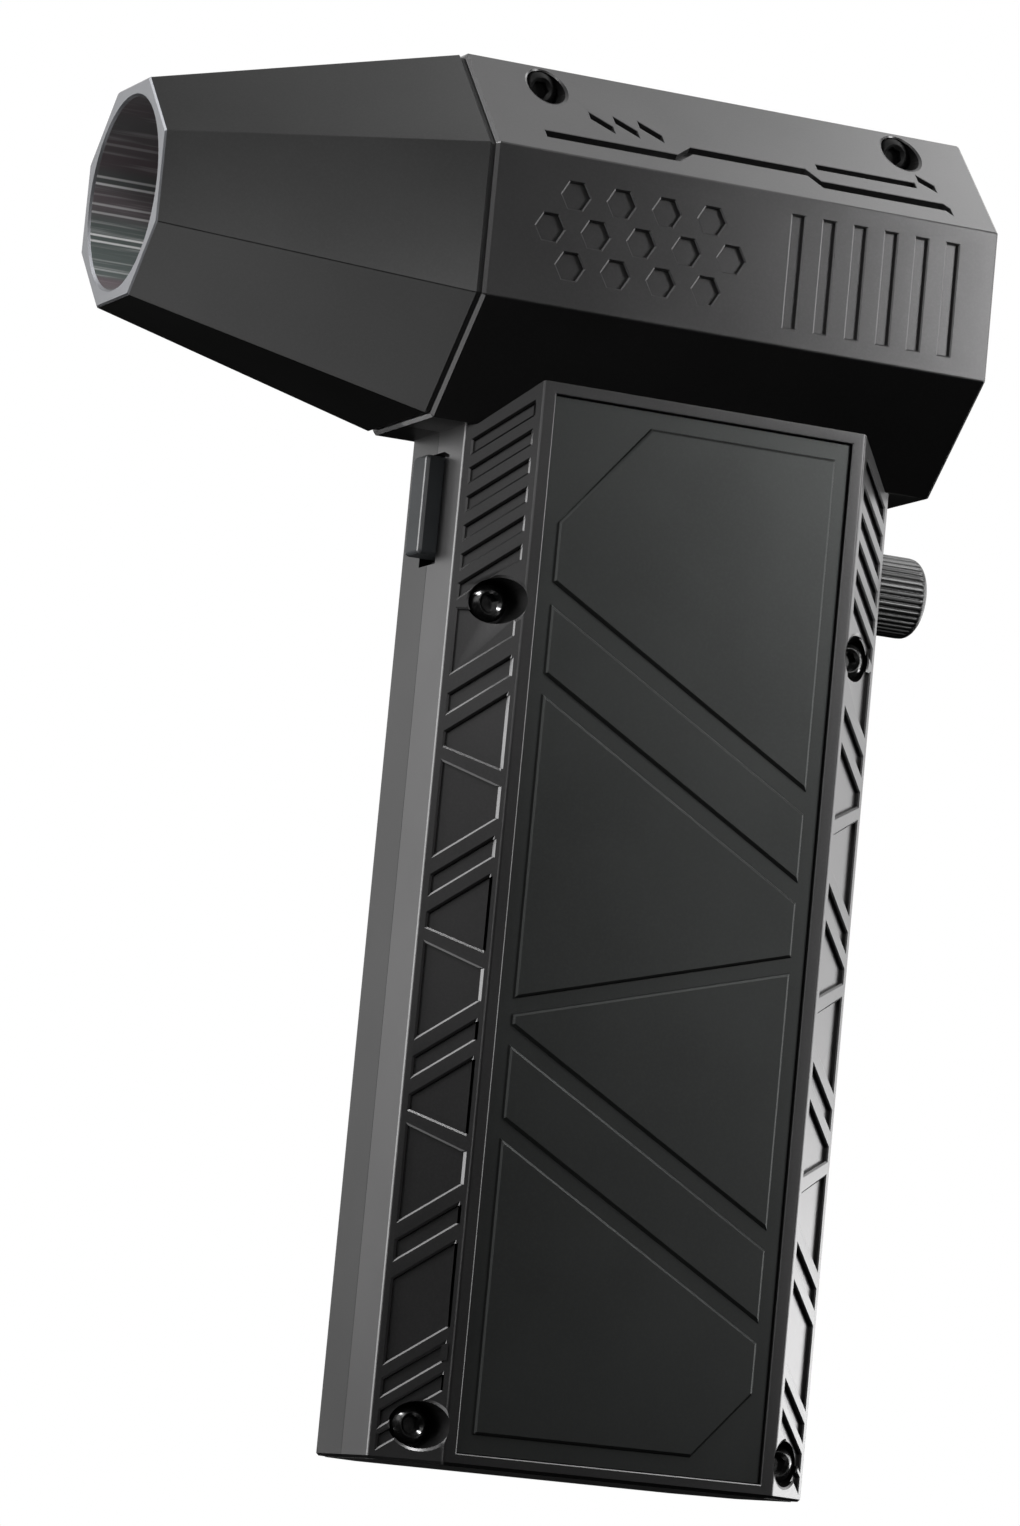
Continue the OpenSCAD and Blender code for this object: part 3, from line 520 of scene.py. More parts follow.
def seam_tools():
    """V grooves along the seam between the case halves."""
    bm = bmesh.new()
    x0, x1 = GRIP_X
    runs = [((x0, 0, SHELL_FOOT - 1), (x0, 0, -HEAD_R - 0.4)),
            ((x1, 0, SHELL_FOOT - 1), (x1, 0, -HEAD_R - 0.4)),
            ((HEAD_X[0] - 1, 0, HEAD_R), (HEAD_X[1] + 1, 0, HEAD_R)),
            ((HEAD_X[0] - 1, 0, -HEAD_R), (x0 - 0.4, 0, -HEAD_R)),
            ((x1 + 0.4, 0, -HEAD_R), (HEAD_X[1] + 1, 0, -HEAD_R))]
    for ends in runs:
        add_loft(bm, groove_bar(ends))
    return solid(bm, "tool")


# ---- Case ----

def grip_hull():
    outline = rounded(grip_plan(SKIN), GRIP_EDGE_R, 6)
    foot = SHELL_FOOT - SKIN
    top = -12                                   # inside the head
    return loft(along_z([(foot, grown(outline, -FOOT_BEVEL)), (foot + FOOT_BEVEL, outline), (top, outline)]))


def head_hull():
    outline = rounded(octagon(HEAD_R + SKIN), HEAD_EDGE_R)
    x0, x1 = HEAD_X[0] - SKIN, HEAD_X[1] + SKIN
    eased = 0.12
    return loft(along_x([(x0, grown(outline, -HEAD_BEVEL)), (x0 + HEAD_BEVEL, outline),
                         (x1 - REAR_ROUNDING, outline), (x1 - eased, grown(outline, -eased)),
                         (x1, grown(outline, -REAR_ROUNDING))]))


def near_any(spot, corners, reach):
    return any((Vector(corner) - spot).length < reach for corner in corners)


EDGE_REACH = 0.36                           # from a corner of the plan to the end of its rounding
RIM_REACH = 0.4                             # width of the bevel round a counterbore
EDGE, SUNK = 1, 2                           # places of the second and third material


def is_edge(spot, out, plan):
    """Whether a face is part of the bevel at the nozzle's end of the head, or of a long edge of the grip."""
    flat_r = max(abs(spot.y), abs(spot.z), (abs(spot.y) + abs(spot.z)) / math.sqrt(2))
    bevel = spot.x < HEAD_X[0] + HEAD_BEVEL and -0.9 < out.x < -0.3 and flat_r > HEAD_R - HEAD_BEVEL
    return bevel or spot.z < -HEAD_R and near_any(Vector((spot.x, spot.y)), plan, EDGE_REACH)


def is_slope_groove(spot):
    """Whether a face lies in an engraving of the head's upper chamfer."""
    depth = HEAD_R - (spot.z - spot.y) / math.sqrt(2)
    return spot.y < 0 and spot.z > HEAD_EDGE and 0.08 < depth < 0.9


def is_rim(spot, out):
    """Whether a face is part of the bevel round a counterbore of the grip."""
    place = Vector((spot.x, spot.z))
    outside = not near_any(place, GRIP_SCREWS, GRIP_SINK_R)
    close = outside and near_any(place, GRIP_SCREWS, GRIP_SINK_R + RIM_REACH)
    tilted = 0.1 < -out.y < 0.97 and abs(out.dot(CHAMFER_OUT[out.x > 0])) < 0.97
    return spot.y < -FACE_Y and close and tilted


def is_counterbore(spot, out):
    """Whether a face is part of a counterbore's wall."""
    place = Vector((spot.x, spot.z))
    inside = any(near_any(place, screws, radius + OVERLAP)
                 for screws, radius in ((HEAD_SCREWS, HEAD_SINK_R), (GRIP_SCREWS, GRIP_SINK_R)))
    return spot.y < -4 and abs(out.y) < 0.1 and inside


def mark_shell(piece):
    """Rounded edges and rims take the second material, a lighter coat that paints highlights on them;
    counterbores and the head's grooves take the third, a near-black one that paints shade in them.
    """
    plan = grip_plan()
    for face in piece.data.polygons:
        spot, out = face.center, face.normal
        if is_counterbore(spot, out):
            face.material_index = SUNK
        elif is_rim(spot, out):
            face.material_index = EDGE
        elif is_slope_groove(spot):
            face.material_index = SUNK
        elif is_edge(spot, out, plan):
            face.material_index = EDGE


def shell(node, name, mirrored):
    """A case half: rounded outer edges, bevelled lips and a grooved seam."""
    piece = cad_copy(node, name)
    if mirrored:
        transform(piece, MIRROR)
    hull = grip_hull()
    carve(hull, head_hull(), "UNION")
    carve(piece, hull, "INTERSECT")
    carve(piece, lip_tools())
    carve(piece, last_lip_tools())
    carve(piece, far_lip_tools())
    if not mirrored:
        carve(piece, rim_tools())
    carve(piece, seam_tools())
    mark_shell(piece)
    if mirrored:
        transform(piece, MIRROR)
    return piece


def side_panel(name, mirrored):
    """An inlay with its raised plates, whose edges slope."""
    gap = 0.05
    x0, x1 = INLAY_X[0] + gap, INLAY_X[1] - gap
    z0, z1 = INLAY_Z[0] + gap, INLAY_Z[1] - gap
    board = [(x0, z0), (x1, z0), (x1, z1), (x0, z1)]
    front = -PANEL_Y + INLAY_STEP
    back = front + INLAY_T
    piece = loft(along_y([(back, board), (front + 0.1, board), (front, grown(board, -0.1))]), name)
    bm = bmesh.new()
    for outline in inlay_plates():
        foot = grown(outline, 0.15)
        shoulder, top = grown(outline, 0.03), grown(outline, -0.23)
        add_loft(bm, along_y([(front + 0.3, foot), (front, foot), (front - PLATE_H + 0.15, shoulder),
                              (front - PLATE_H, top)]))
    carve(piece, solid(bm, "tool"), "UNION")
    if mirrored:
        transform(piece, MIRROR)
    return piece


def nozzle():
    """The tapered nozzle, with eased edges and a bevelled mouth."""
    piece = cad_copy("nozzle", "nozzle_body")
    slope = (BASE_R - TIP_R) / -MOUTH_X
    stations = []
    for x, inset in ((MOUTH_X - SKIN, 0.2), (MOUTH_X + 0.2, 0), (-0.2, 0), (SKIN, 0.2)):
        flat = TIP_R + (x - MOUTH_X) * slope + SKIN - inset
        stations.append((x, rounded(octagon(flat), NOZZLE_EDGE_R)))
    collar = [Vector(p) * 0.94 for p in stations[-1][1]]
    stations += [(0.01, collar), (HEAD_X[0] + 5, collar)]
    carve(piece, loft(along_x(stations)), "INTERSECT")
    lip = [(MOUTH_X - 0.2, ring(OUTLET_R + 0.5)), (MOUTH_X + 0.35, ring(OUTLET_R - 0.05))]
    carve(piece, loft(along_x(lip)))
    return piece


# ---- Screws, knob and trigger ----

def lathe(profile):
    """A closed solid of revolution about x from (x, r) points; the first and last lie on the axis."""
    count = 40
    bm = bmesh.new()
    rings = []
    for x, r in profile[1:-1]:
        rings.append([bm.verts.new((x, p.x, p.y)) for p in ring(r, count)])
    first = bm.verts.new((profile[0][0], 0, 0))
    last = bm.verts.new((profile[-1][0], 0, 0))
    faces = []
    for i in range(count):
        j = (i + 1) % count
        faces.append(bm.faces.new((first, rings[0][j], rings[0][i])))
        faces.append(bm.faces.new((last, rings[-1][i], rings[-1][j])))
        for low, high in zip(rings, rings[1:]):
            faces.append(bm.faces.new((low[i], low[j], high[j], high[i])))
    turn_outwards(faces)
    return solid(bm, "lathed")


SCREW_HEAD_R = 2.25
SCREW_HEAD_H = 2.5
SHANK_R = 1.25
SHANK_LENGTH = 16.0
SOCKET_R = 1.15
SOCKET_DEPTH = 1.3


def cap_screw():
    """A socket cap screw along +x, its head's underside at x = 0: bevelled head, countersunk socket."""
    top = -SCREW_HEAD_H
    profile = [(top, 0), (top, 1.5), (top + 0.08, 1.62), (top + 0.62, 2.16), (top + 0.78, SCREW_HEAD_R),
               (0, SCREW_HEAD_R), (0, SHANK_R), (SHANK_LENGTH - 0.5, SHANK_R), (SHANK_LENGTH, SHANK_R - 0.5),
               (SHANK_LENGTH, 0)]
    made = lathe(profile)
    hexagon = ring(SOCKET_R, 6)
    carve(made, loft(along_x([(top - 0.5, hexagon), (top + SOCKET_DEPTH, hexagon)])))
    carve(made, loft(along_x([(top - 0.1, ring(1.5)), (top + 0.4, ring(1.0))])))
    return made


def case_screws():
    """All six case screws in one piece."""
    pattern = cap_screw()
    bm = bmesh.new()
    places = [(p, HEAD_SCREW_FLOOR) for p in HEAD_SCREWS] + [(p, GRIP_SCREW_FLOOR) for p in GRIP_SCREWS]
    for i, (place, floor) in enumerate(places):
        one = pattern.data.copy()
        one.transform(Matrix.Translation((place[0], floor, place[1])) @ Matrix.Rotation(math.pi / 2, 4, "Z")
                      @ Matrix.Rotation(0.35 * i, 4, "X"))
        bm.from_mesh(one)
        bpy.data.meshes.remove(one)
    bpy.data.objects.remove(pattern)
    return solid(bm, "socket_screws")


KNOB_RIDGES = 40
# One ridge and the groove after it: how far along the pitch, and what share of the groove's depth
RIDGE = ((0.0, 0.35), (0.14, 0.05), (0.3, 0.0), (0.46, 0.05), (0.6, 0.35), (0.72, 0.9), (0.8, 1.0),
         (0.88, 0.9))
RIDGE_DEPTH = 0.24
POT_SHAFT_R = 1.5
SET_SCREW_R = 1.0


def ridged(radius, depth):
    """Outline of the knurling: rounded ridges round a circle."""
    made = []
    for i in range(KNOB_RIDGES):
        for share, sunk in RIDGE:
            angle = 2 * math.pi * (i + share) / KNOB_RIDGES
            reach = radius - depth * sunk
            made.append(Vector((reach * math.cos(angle), reach * math.sin(angle) + KNOB_Z)))
    return made


def speed_knob():
    """The knurled knob: straight ridges, a plain rounded end with a shallow dish."""
    x0, x1 = KNOB_X
    r = KNOB_R
    knurled = [(x0, r - 0.55, 0.0), (x0 + 0.25, r - 0.2, 0.1), (x0 + 0.45, r, RIDGE_DEPTH),
               (x1 - 1.4, r, RIDGE_DEPTH), (x1 - 1.1, r - 0.03, 0.16)]
    rounding = [(0.85, 0.08), (0.6, 0.19), (0.36, 0.38), (0.17, 0.62), (0.05, 0.88), (0, 1.15)]
    dish = [(0, 1.5), (0.2, 1.75)]
    stations = knurled + [(x1 - back, r - inset, 0.0) for back, inset in rounding + dish]
    made = loft(along_x([(x, ridged(radius, depth)) for x, radius, depth in stations]), "knurled_knob")
    bore = shifted(ring(POT_SHAFT_R), 0, KNOB_Z)
    carve(made, loft(along_x([(x0 - 1, bore), (x0 + 6.1, bore)])))
    hole = shifted(ring(SET_SCREW_R, 24), x0 + 3.3, KNOB_Z)
    carve(made, loft(along_y([(0, hole), (KNOB_R + 1, hole)])))
    return made


def trigger():
    """The trigger: the button's corners and front edges rounded, flange and stem as they are."""
    piece = cad_copy("trigger_button", "press_trigger")
    x0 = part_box("trigger_button")[0].x / MM - JOINT_X
    half_w, half_h = TRIGGER_W / 2 + SKIN, TRIGGER_H / 2 + SKIN
    flange_x = (7.7, 12)
    corners = [(-half_w, TRIGGER_Z - half_h), (half_w, TRIGGER_Z - half_h),
               (half_w, TRIGGER_Z + half_h), (-half_w, TRIGGER_Z + half_h)]
    outline = rounded(corners, 0.5)
    flange = rounded(grown(corners, 1.6), 0.5)
    stations = [(x0 - SKIN, grown(outline, -0.42)), (x0 + 0.08, grown(outline, -0.2)),
                (x0 + 0.25, grown(outline, -0.06)), (x0 + 0.5, outline), (7.8, outline)]
    hull = loft(along_x(stations))
    carve(hull, loft(along_x([(x, flange) for x in flange_x])), "UNION")
    carve(piece, hull, "INTERSECT")
    return piece


# ---- Materials ----

class Wire:
    """A shader socket that is used like a number."""

    def __init__(self, shader, socket):
        self.shader = shader
        self.socket = socket

    def calc(self, operation, *values):
        return self.shader.node("ShaderNodeMath", {"operation": operation}, dict(enumerate(values)))

    def __add__(self, other):
        return self.calc("ADD", self, other)

    def __radd__(self, other):
        return self.calc("ADD", other, self)

    def __sub__(self, other):
        return self.calc("SUBTRACT", self, other)

    def __rsub__(self, other):
        return self.calc("SUBTRACT", other, self)

    def __mul__(self, other):
        return self.calc("MULTIPLY", self, other)

    def __rmul__(self, other):
        return self.calc("MULTIPLY", other, self)

    def __abs__(self):
        return self.calc("ABSOLUTE", self)

    def sine(self):
        return self.calc("SINE", self)

    def between(self, low, high):
        """A soft step that is 0 below low and 1 above high."""
        settings = {"interpolation_type": "SMOOTHSTEP"}
        return self.shader.node("ShaderNodeMapRange", settings, {0: self, 1: low, 2: high})


class Shader:
    """The nodes of one material or of the world."""

    def __init__(self, owner):
        self.owner = owner
        owner.use_nodes = True
        self.tree = owner.node_tree
        self.tree.nodes.clear()

    def node(self, kind, settings=None, inputs=None, out=0):
        """One node: its settings, then the values or links of its sockets. Gives one output."""
        made = self.tree.nodes.new(kind)
        for key, value in (settings or {}).items():
            setattr(made, key, value)
        for key, value in (inputs or {}).items():
            if isinstance(value, Wire):
                self.tree.links.new(value.socket, made.inputs[key])
            else:
                made.inputs[key].default_value = value
        return Wire(self, made.outputs[out]) if len(made.outputs) else None

    def place(self):
        """The point on the piece, in millimetres."""
        spot = self.node("ShaderNodeTexCoord", out="Object")
        return self.node("ShaderNodeVectorMath", {"operation": "SCALE"}, {0: spot, "Scale": 1 / MM})

    def stretched(self, spot, scale):
        return self.node("ShaderNodeVectorMath", {"operation": "MULTIPLY"}, {0: spot, 1: scale})

    def axes(self, spot):
        """The x, y and z of a point."""
        split = self.node("ShaderNodeSeparateXYZ", None, {0: spot})
        outputs = split.socket.node.outputs
        return [Wire(self, outputs[name]) for name in ("X", "Y", "Z")]

    def noise(self, spot, size, detail=2.0):
        """Noise from 0 to 1 whose features are about so many millimetres across."""
        return self.node("ShaderNodeTexNoise", None, {"Vector": spot, "Scale": 1 / size, "Detail": detail})

    def mix(self, share, first, second):
        """A colour between two."""
        return self.node("ShaderNodeMix", {"data_type": "RGBA"}, {0: share, 6: first, 7: second}, out=2)

    def bump(self, height, depth, strength):
        """A normal from a height of 0 to 1 that is so many millimetres deep."""
        inputs = {"Height": height, "Distance": depth * MM, "Strength": strength}
        return self.node("ShaderNodeBump", None, inputs)

    def surface(self, inputs):
        made = self.node("ShaderNodeBsdfPrincipled", None, inputs)
        self.node("ShaderNodeOutputMaterial", None, {"Surface": made})
        return self.owner


def start(name):
    return Shader(bpy.data.materials.new(name))


def grey(level, tint=(1, 1, 1)):
    return (level * tint[0], level * tint[1], level * tint[2], 1)


def coat(name, level, tint, metallic, rough):
    """A satin sprayed coat: fine grain, faint drifts of tone, slightly uneven gloss."""
    s = start(name)
    spot = s.place()
    drift = s.noise(spot, 26.0, 3.0)
    fine = s.noise(spot, 0.3)
    colour = s.mix(drift.between(0.3, 0.7), grey(level * 0.92, tint), grey(level * 1.08, tint))
    speck = s.mix(fine.between(0.35, 0.8) * 0.12, colour, grey(level * 1.7, tint))
    normal = s.bump(fine, 0.006, 0.5)
    return s.surface({"Base Color": speck, "Metallic": metallic, "Normal": normal,
                      "Roughness": rough - 0.03 + fine * 0.05 + drift * 0.03})


def moulded(name, colour, rough, grain=0.5, gloss=0.5):
    """Plain moulded plastic with a fine spark-eroded texture."""
    s = start(name)
    spot = s.place()
    texture = s.noise(spot, grain, 3.0)
    flow = s.noise(s.stretched(spot, (0.4, 1, 1)), 9.0)
    darker = tuple(c * 0.82 for c in colour[:3]) + (1,)
    return s.surface({"Base Color": s.mix(flow.between(0.25, 0.75), darker, colour),
                      "Roughness": rough - 0.05 + texture * 0.12, "Specular IOR Level": gloss,
                      "Normal": s.bump(texture, 0.01, 0.5)})


def turned_metal(name, level, tint, rough, pitch=0.18):
    """Metal turned about the head's axis: fine rings that vary with x and radius."""
    s = start(name)
    spot = s.place()
    x = s.axes(spot)[0]
    from_axis = s.node("ShaderNodeVectorMath", {"operation": "SUBTRACT"}, {0: spot, 1: (0, 0, AXIS_Z)})
    across = s.stretched(from_axis, (0, 1, 1))
    radius = s.node("ShaderNodeVectorMath", {"operation": "LENGTH"}, {0: across}, out="Value")
    path = s.node("ShaderNodeCombineXYZ", None, {0: x, 1: radius, 2: 0.0})
    rings = s.noise(path, pitch, 3.0)
    wide = s.noise(spot, 6.0)
    return s.surface({"Base Color": s.mix(rings, grey(level * 0.82, tint), grey(level * 1.12, tint)),
                      "Metallic": 1.0, "Roughness": rough - 0.06 + rings * 0.14 + wide * 0.04,
                      "Normal": s.bump(rings, 0.004, 0.6)})


def plain_metal(name, level, tint, rough, run=(1, 1, 1), size=0.25):
    """Drawn, ground or plated metal, with its marks run out along one axis."""
    s = start(name)
    spot = s.place()
    marks = s.noise(s.stretched(spot, run), size, 3.0)
    wide = s.noise(spot, 5.0)
    return s.surface({"Base Color": s.mix(marks, grey(level * 0.8, tint), grey(level * 1.15, tint)),
                      "Metallic": 1.0, "Roughness": rough - 0.08 + marks * 0.14 + wide * 0.05,
                      "Normal": s.bump(marks, 0.004, 0.6)})


def rubber(name, colour):
    """Matt rubber with fine pores and a faint bloom."""
    s = start(name)
    spot = s.place()
    pores = s.noise(spot, 0.35, 3.0)
    bloom = s.noise(spot, 8.0)
    lighter = tuple(c * 1.8 for c in colour[:3]) + (1,)
    return s.surface({"Base Color": s.mix(bloom.between(0.4, 0.9), colour, lighter),
                      "Roughness": 0.58 + pores * 0.12, "Normal": s.bump(pores, 0.02, 0.5)})


# Height over the bore's axis and strength of each bright line painted along the bore: painted reflections
BORE_REFLECTION_LINES = ((7.4, 0.3), (3.8, 0.8), (3.0, 1.0), (0.6, 0.45), (-0.4, 0.5), (-3.2, 1.0), (-4.0, 0.85),
              (-7.8, 0.35))


def bore_finish():
    """The nozzle's liner: dark, with faint drawing marks along the bore, and bright lines at set heights
    that are painted reflections.
    """
    s = start("bore_finish")
    spot = s.place()
    x, y, z = s.axes(spot)
    height = z - AXIS_Z
    drawn = s.node("ShaderNodeCombineXYZ", None, {0: x * 0.02, 1: y * 0.1, 2: height})
    wide = s.noise(drawn, 4.0)
    fine = s.noise(drawn, 0.3)
    streak = fine.between(0.5, 0.8) * 0.3
    # bright lines at set heights: painted reflections
    for middle, strength in BORE_REFLECTION_LINES:
        streak = streak + (1 - abs(height - middle).between(0.06, 0.2)) * strength
    colour = s.mix(wide.between(0.35, 0.65), grey(0.13, (1.12, 0.92, 1)), grey(0.13, (0.88, 1.04, 1)))
    return s.surface({"Base Color": s.mix(streak, colour, grey(0.8)), "Metallic": 0.2,
                      "Roughness": 0.3 + fine * 0.1, "Normal": s.bump(fine, 0.02, 0.5)})


def circuit_board():
    """Green lacquer over copper traces."""
    s = start("circuit_board")
    place = {"Vector": s.place(), "Scale": 0.7}
    lines = s.node("ShaderNodeTexVoronoi", {"distance": "CHEBYCHEV"}, place, out="Distance")
    trace = lines.between(0.42, 0.5)
    colour = s.mix(trace, (0.012, 0.11, 0.045, 1), (0.03, 0.22, 0.08, 1))
    return s.surface({"Base Color": colour, "Roughness": 0.32 - trace * 0.06,
                      "Normal": s.bump(trace, 0.03, 0.5)})


WIRE_PITCH = 0.35
SHEET_PITCH = 0.5


def winding():
    """Enamelled copper wire wound round the teeth along x."""
    s = start("winding")
    _, y, z = s.axes(s.place())
    turns = abs(((y + z) * (math.pi / WIRE_PITCH)).sine())
    colour = s.mix(turns, (0.28, 0.09, 0.03, 1), (0.75, 0.33, 0.13, 1))
    return s.surface({"Base Color": colour, "Metallic": 0.85, "Roughness": 0.36 - turns * 0.1,
                      "Normal": s.bump(turns, 0.12, 0.7)})


def lamination():
    """Stacked sheet steel: fine lines across x."""
    s = start("lamination")
    spot = s.place()
    x = s.axes(spot)[0]
    sheets = abs((x * (math.pi / SHEET_PITCH)).sine())
    marks = s.noise(spot, 0.5)
    return s.surface({"Base Color": s.mix(sheets, grey(0.12), grey(0.36)), "Metallic": 1.0,
                      "Roughness": 0.36 + marks * 0.14, "Normal": s.bump(sheets, 0.05, 0.6)})


def cell_sleeve():
    """Shrink film over a steel can, with a slight orange peel."""
    s = start("cell_sleeve")
    spot = s.place()
    peel = s.noise(s.stretched(spot, (1, 1, 0.4)), 3.0)
    return s.surface({"Base Color": s.mix(peel, (0.05, 0.22, 0.34, 1), (0.08, 0.31, 0.45, 1)),
                      "Metallic": 0.25, "Roughness": 0.22 + peel * 0.12, "Normal": s.bump(peel, 0.08, 0.5)})


def frosted():
    """The lamps' clear frosted plastic."""
    s = start("frosted")
    spot = s.place()
    frost = s.noise(spot, 0.3)
    return s.surface({"Base Color": s.mix(frost, (0.72, 0.82, 0.88, 1), (0.86, 0.93, 0.97, 1)),
                      "Roughness": 0.25 + frost * 0.2, "Transmission Weight": 0.5, "IOR": 1.49,
                      "Normal": s.bump(frost, 0.01, 0.5)})


def insulation(name, colour):
    """The smooth, slightly scuffed insulation of a wire."""
    s = start(name)
    spot = s.place()
    scuff = s.noise(spot, 1.2)
    darker = tuple(c * 0.75 for c in colour[:3]) + (1,)
    return s.surface({"Base Color": s.mix(scuff, darker, colour), "Roughness": 0.38 + scuff * 0.14,
                      "Normal": s.bump(scuff, 0.01, 0.5)})


def blackened():
    """Black oxide on steel, oiled."""
    s = start("blackened")
    spot = s.place()
    marks = s.noise(spot, 0.4, 3.0)
    return s.surface({"Base Color": s.mix(marks.between(0.3, 0.8), grey(0.06), grey(0.12)), "Metallic": 0.9,
                      "Roughness": 0.16 + marks * 0.1, "Normal": s.bump(marks, 0.006, 0.5),
                      "Coat Weight": 0.4, "Coat Roughness": 0.12})


def make_finishes():
    """A material for every slot of the record."""
    cool = (0.98, 1.0, 1.03)
    green = (0.97, 1.015, 0.995)
    return {
        "case_coat": coat("case_coat", 0.072, (1.0, 0.99, 1.0), 0.95, 0.3),
        # case_coat_right is the case coat at half its level and rougher: painted shade on the right half,
        # which is the same coat as the left
        "case_coat_right": coat("case_coat_right", 0.036, (1.0, 0.99, 1.0), 0.95, 0.38),
        "panel_coat": coat("panel_coat", 0.05, green, 0.85, 0.34),
        "nozzle_coat": coat("nozzle_coat", 0.085, (1, 1, 1), 0.95, 0.3),
        "bore_metal": bore_finish(),
        "seal": rubber("seal_rubber", grey(0.012)),
        "dark_screw": blackened(),
        "bright_screw": plain_metal("plain_screw", 0.52, cool, 0.3, (1, 1, 1), 0.3),
        "inner_plastic": moulded("inner_plastic", grey(0.045, cool), 0.5),
        "bright_metal": turned_metal("bright_metal", 0.55, cool, 0.34),
        "core_steel": lamination(),
        "copper": winding(),
        "race_steel": turned_metal("race_steel", 0.62, cool, 0.2, 0.1),
        "magnet": plain_metal("magnet", 0.2, (1, 1, 1), 0.42, (1, 1, 1), 0.4),
        "trigger_plastic": moulded("trigger_plastic", grey(0.06, (0.94, 1, 1.05)), 0.42, gloss=0.05),
        "spring_steel": plain_metal("spring_steel", 0.55, cool, 0.28, (0.3, 1, 1), 0.2),
        "plunger_plastic": moulded("plunger_plastic", (0.42, 0.035, 0.03, 1), 0.3),
        "switch_plastic": moulded("switch_plastic", grey(0.022), 0.42),
        "board": circuit_board(),
        "knob_metal": plain_metal("knob_metal", 0.078, (1, 1, 1), 0.36, (0.15, 1, 1), 0.2),
        "pot_body": moulded("pot_body", (0.035, 0.09, 0.26, 1), 0.4),
        "cell_sleeve": cell_sleeve(),
        "cell_tab": plain_metal("cell_tab", 0.55, (1.05, 1, 0.9), 0.34, (1, 0.2, 1), 0.3),
        "port_metal": plain_metal("port_metal", 0.36, cool, 0.4, (1, 1, 0.3), 0.3),
        "lamp_plastic": frosted(),
        "chip_plastic": moulded("chip_plastic", grey(0.02), 0.46, 0.25),
        "wire_black": insulation("wire_black", grey(0.02)),
        "wire_red": insulation("wire_red", (0.42, 0.03, 0.025, 1)),
        "wire_white": insulation("wire_white", grey(0.62)),
    }


# ---- Putting it together ----

def dress_cad_nodes(finishes):
    """Gives every CAD node the material of its slot; the rear cap's screws are black like the case's."""
    for part in frame["record"]["subparts"]:
        node = frame["nodes"][part["node"]]
        node.data.materials.clear()
        node.data.materials.append(finishes[part["material_slot"]])
    frame["nodes"]["rear_cap_screws"].data.materials[0] = finishes["dark_screw"]


def mark_lip(piece):
    """The rim of the mouth takes the second material, and the bore behind it the third."""
    for face in piece.data.polygons:
        depth = (face.center.x - NOZZLE_LOW.x) / MM
        radius = math.hypot(face.center.y / MM, face.center.z / MM - AXIS_Z)
        if depth < 0.4 and face.normal.x < -0.3:
            face.material_index = EDGE
        elif depth < 1.2 and abs(face.normal.x) < 0.3 and radius < OUTLET_R + 0.3:
            face.material_index = SUNK


def mark_head_screws(piece):
    """The two deep screws of the head take the second material, the near-black counterbore one, which paints
    shade on them.
    """
    for face in piece.data.polygons:
        if face.center.z / MM > AXIS_Z:
            face.material_index = EDGE


def mark_trigger(piece):
    """The long rounded edges of the trigger's front take the second material, a lighter and glossier one
    that paints a highlight along them.
    """
    for face in piece.data.polygons:
        slopes = -0.97 < face.normal.x < -0.05 and abs(face.normal.y) > 0.15
        if slopes and face.center.x / MM - JOINT_X < 5:
            face.material_index = EDGE


def build_case(finishes, sink):
    """Both case halves and both inlays."""
    # A lighter, more metallic coat on the rounded edges and counterbore rims: painted highlights
    edge = coat("painted_highlight_edge", 0.2, (1, 1, 1.02), 1.0, 0.27)
    # the right half takes the darker copy of the coat, which paints shade on it
    for side, mirrored, paint in (("left", False, "case_coat"), ("right", True, "case_coat_right")):
        half = shell(side + "_shell", side + "_case_half", mirrored)
        fit_out(half, "casing", [finishes[paint], edge, sink], side + "_shell")
    for side, mirrored in (("left", False), ("right", True)):
        inlay = side_panel(side + "_inlay", mirrored)
        fit_out(inlay, "casing", [finishes["panel_coat"]], side + "_side_panel")


def build_nozzle(finishes):
    """The nozzle, with a polished rim round its mouth."""
    lip = coat("polished_lip", 0.13, (0.98, 1, 1.06), 1.0, 0.38)
    body = nozzle()
    fit_out(body, "casing", [finishes["nozzle_coat"], lip, finishes["bore_metal"]], "nozzle")
    mark_lip(body)


def build_screws(finishes, sink):
    """The six case screws; the head's two are painted darker, as shade."""
    screws = case_screws()
    fit_out(screws, "casing", [finishes["dark_screw"], sink], "case_screws")
    mark_head_screws(screws)


def build_controls(finishes):
    """The speed knob and the trigger."""
    fit_out(speed_knob(), "speed_dial", [finishes["knob_metal"]], "speed_knob")
    button = trigger()
    # Lighter, glossier plastic for the trigger's front edges: a painted highlight
    trigger_edge_highlight = moulded("painted_highlight_trigger_edge", grey(0.1, (0.96, 1, 1.05)), 0.32, gloss=0.6)
    fit_out(button, "trigger", [finishes["trigger_plastic"], trigger_edge_highlight], "trigger_button")
    mark_trigger(button)


def build(finishes):
    # Near-black material for the counterbore walls, the head's slope grooves and the head's two screws:
    # painted shade in those recesses
    sink = moulded("counterbore", grey(0.006), 0.6, gloss=0.12)
    build_case(finishes, sink)
    build_nozzle(finishes)
    build_screws(finishes, sink)
    build_controls(finishes)


# ---- Stage: floor, world, lamps, camera ----

FLOOR_R = 0.5
FLOOR_DROP = 0.00005                        # keeps the floor from meeting the foot in one plane


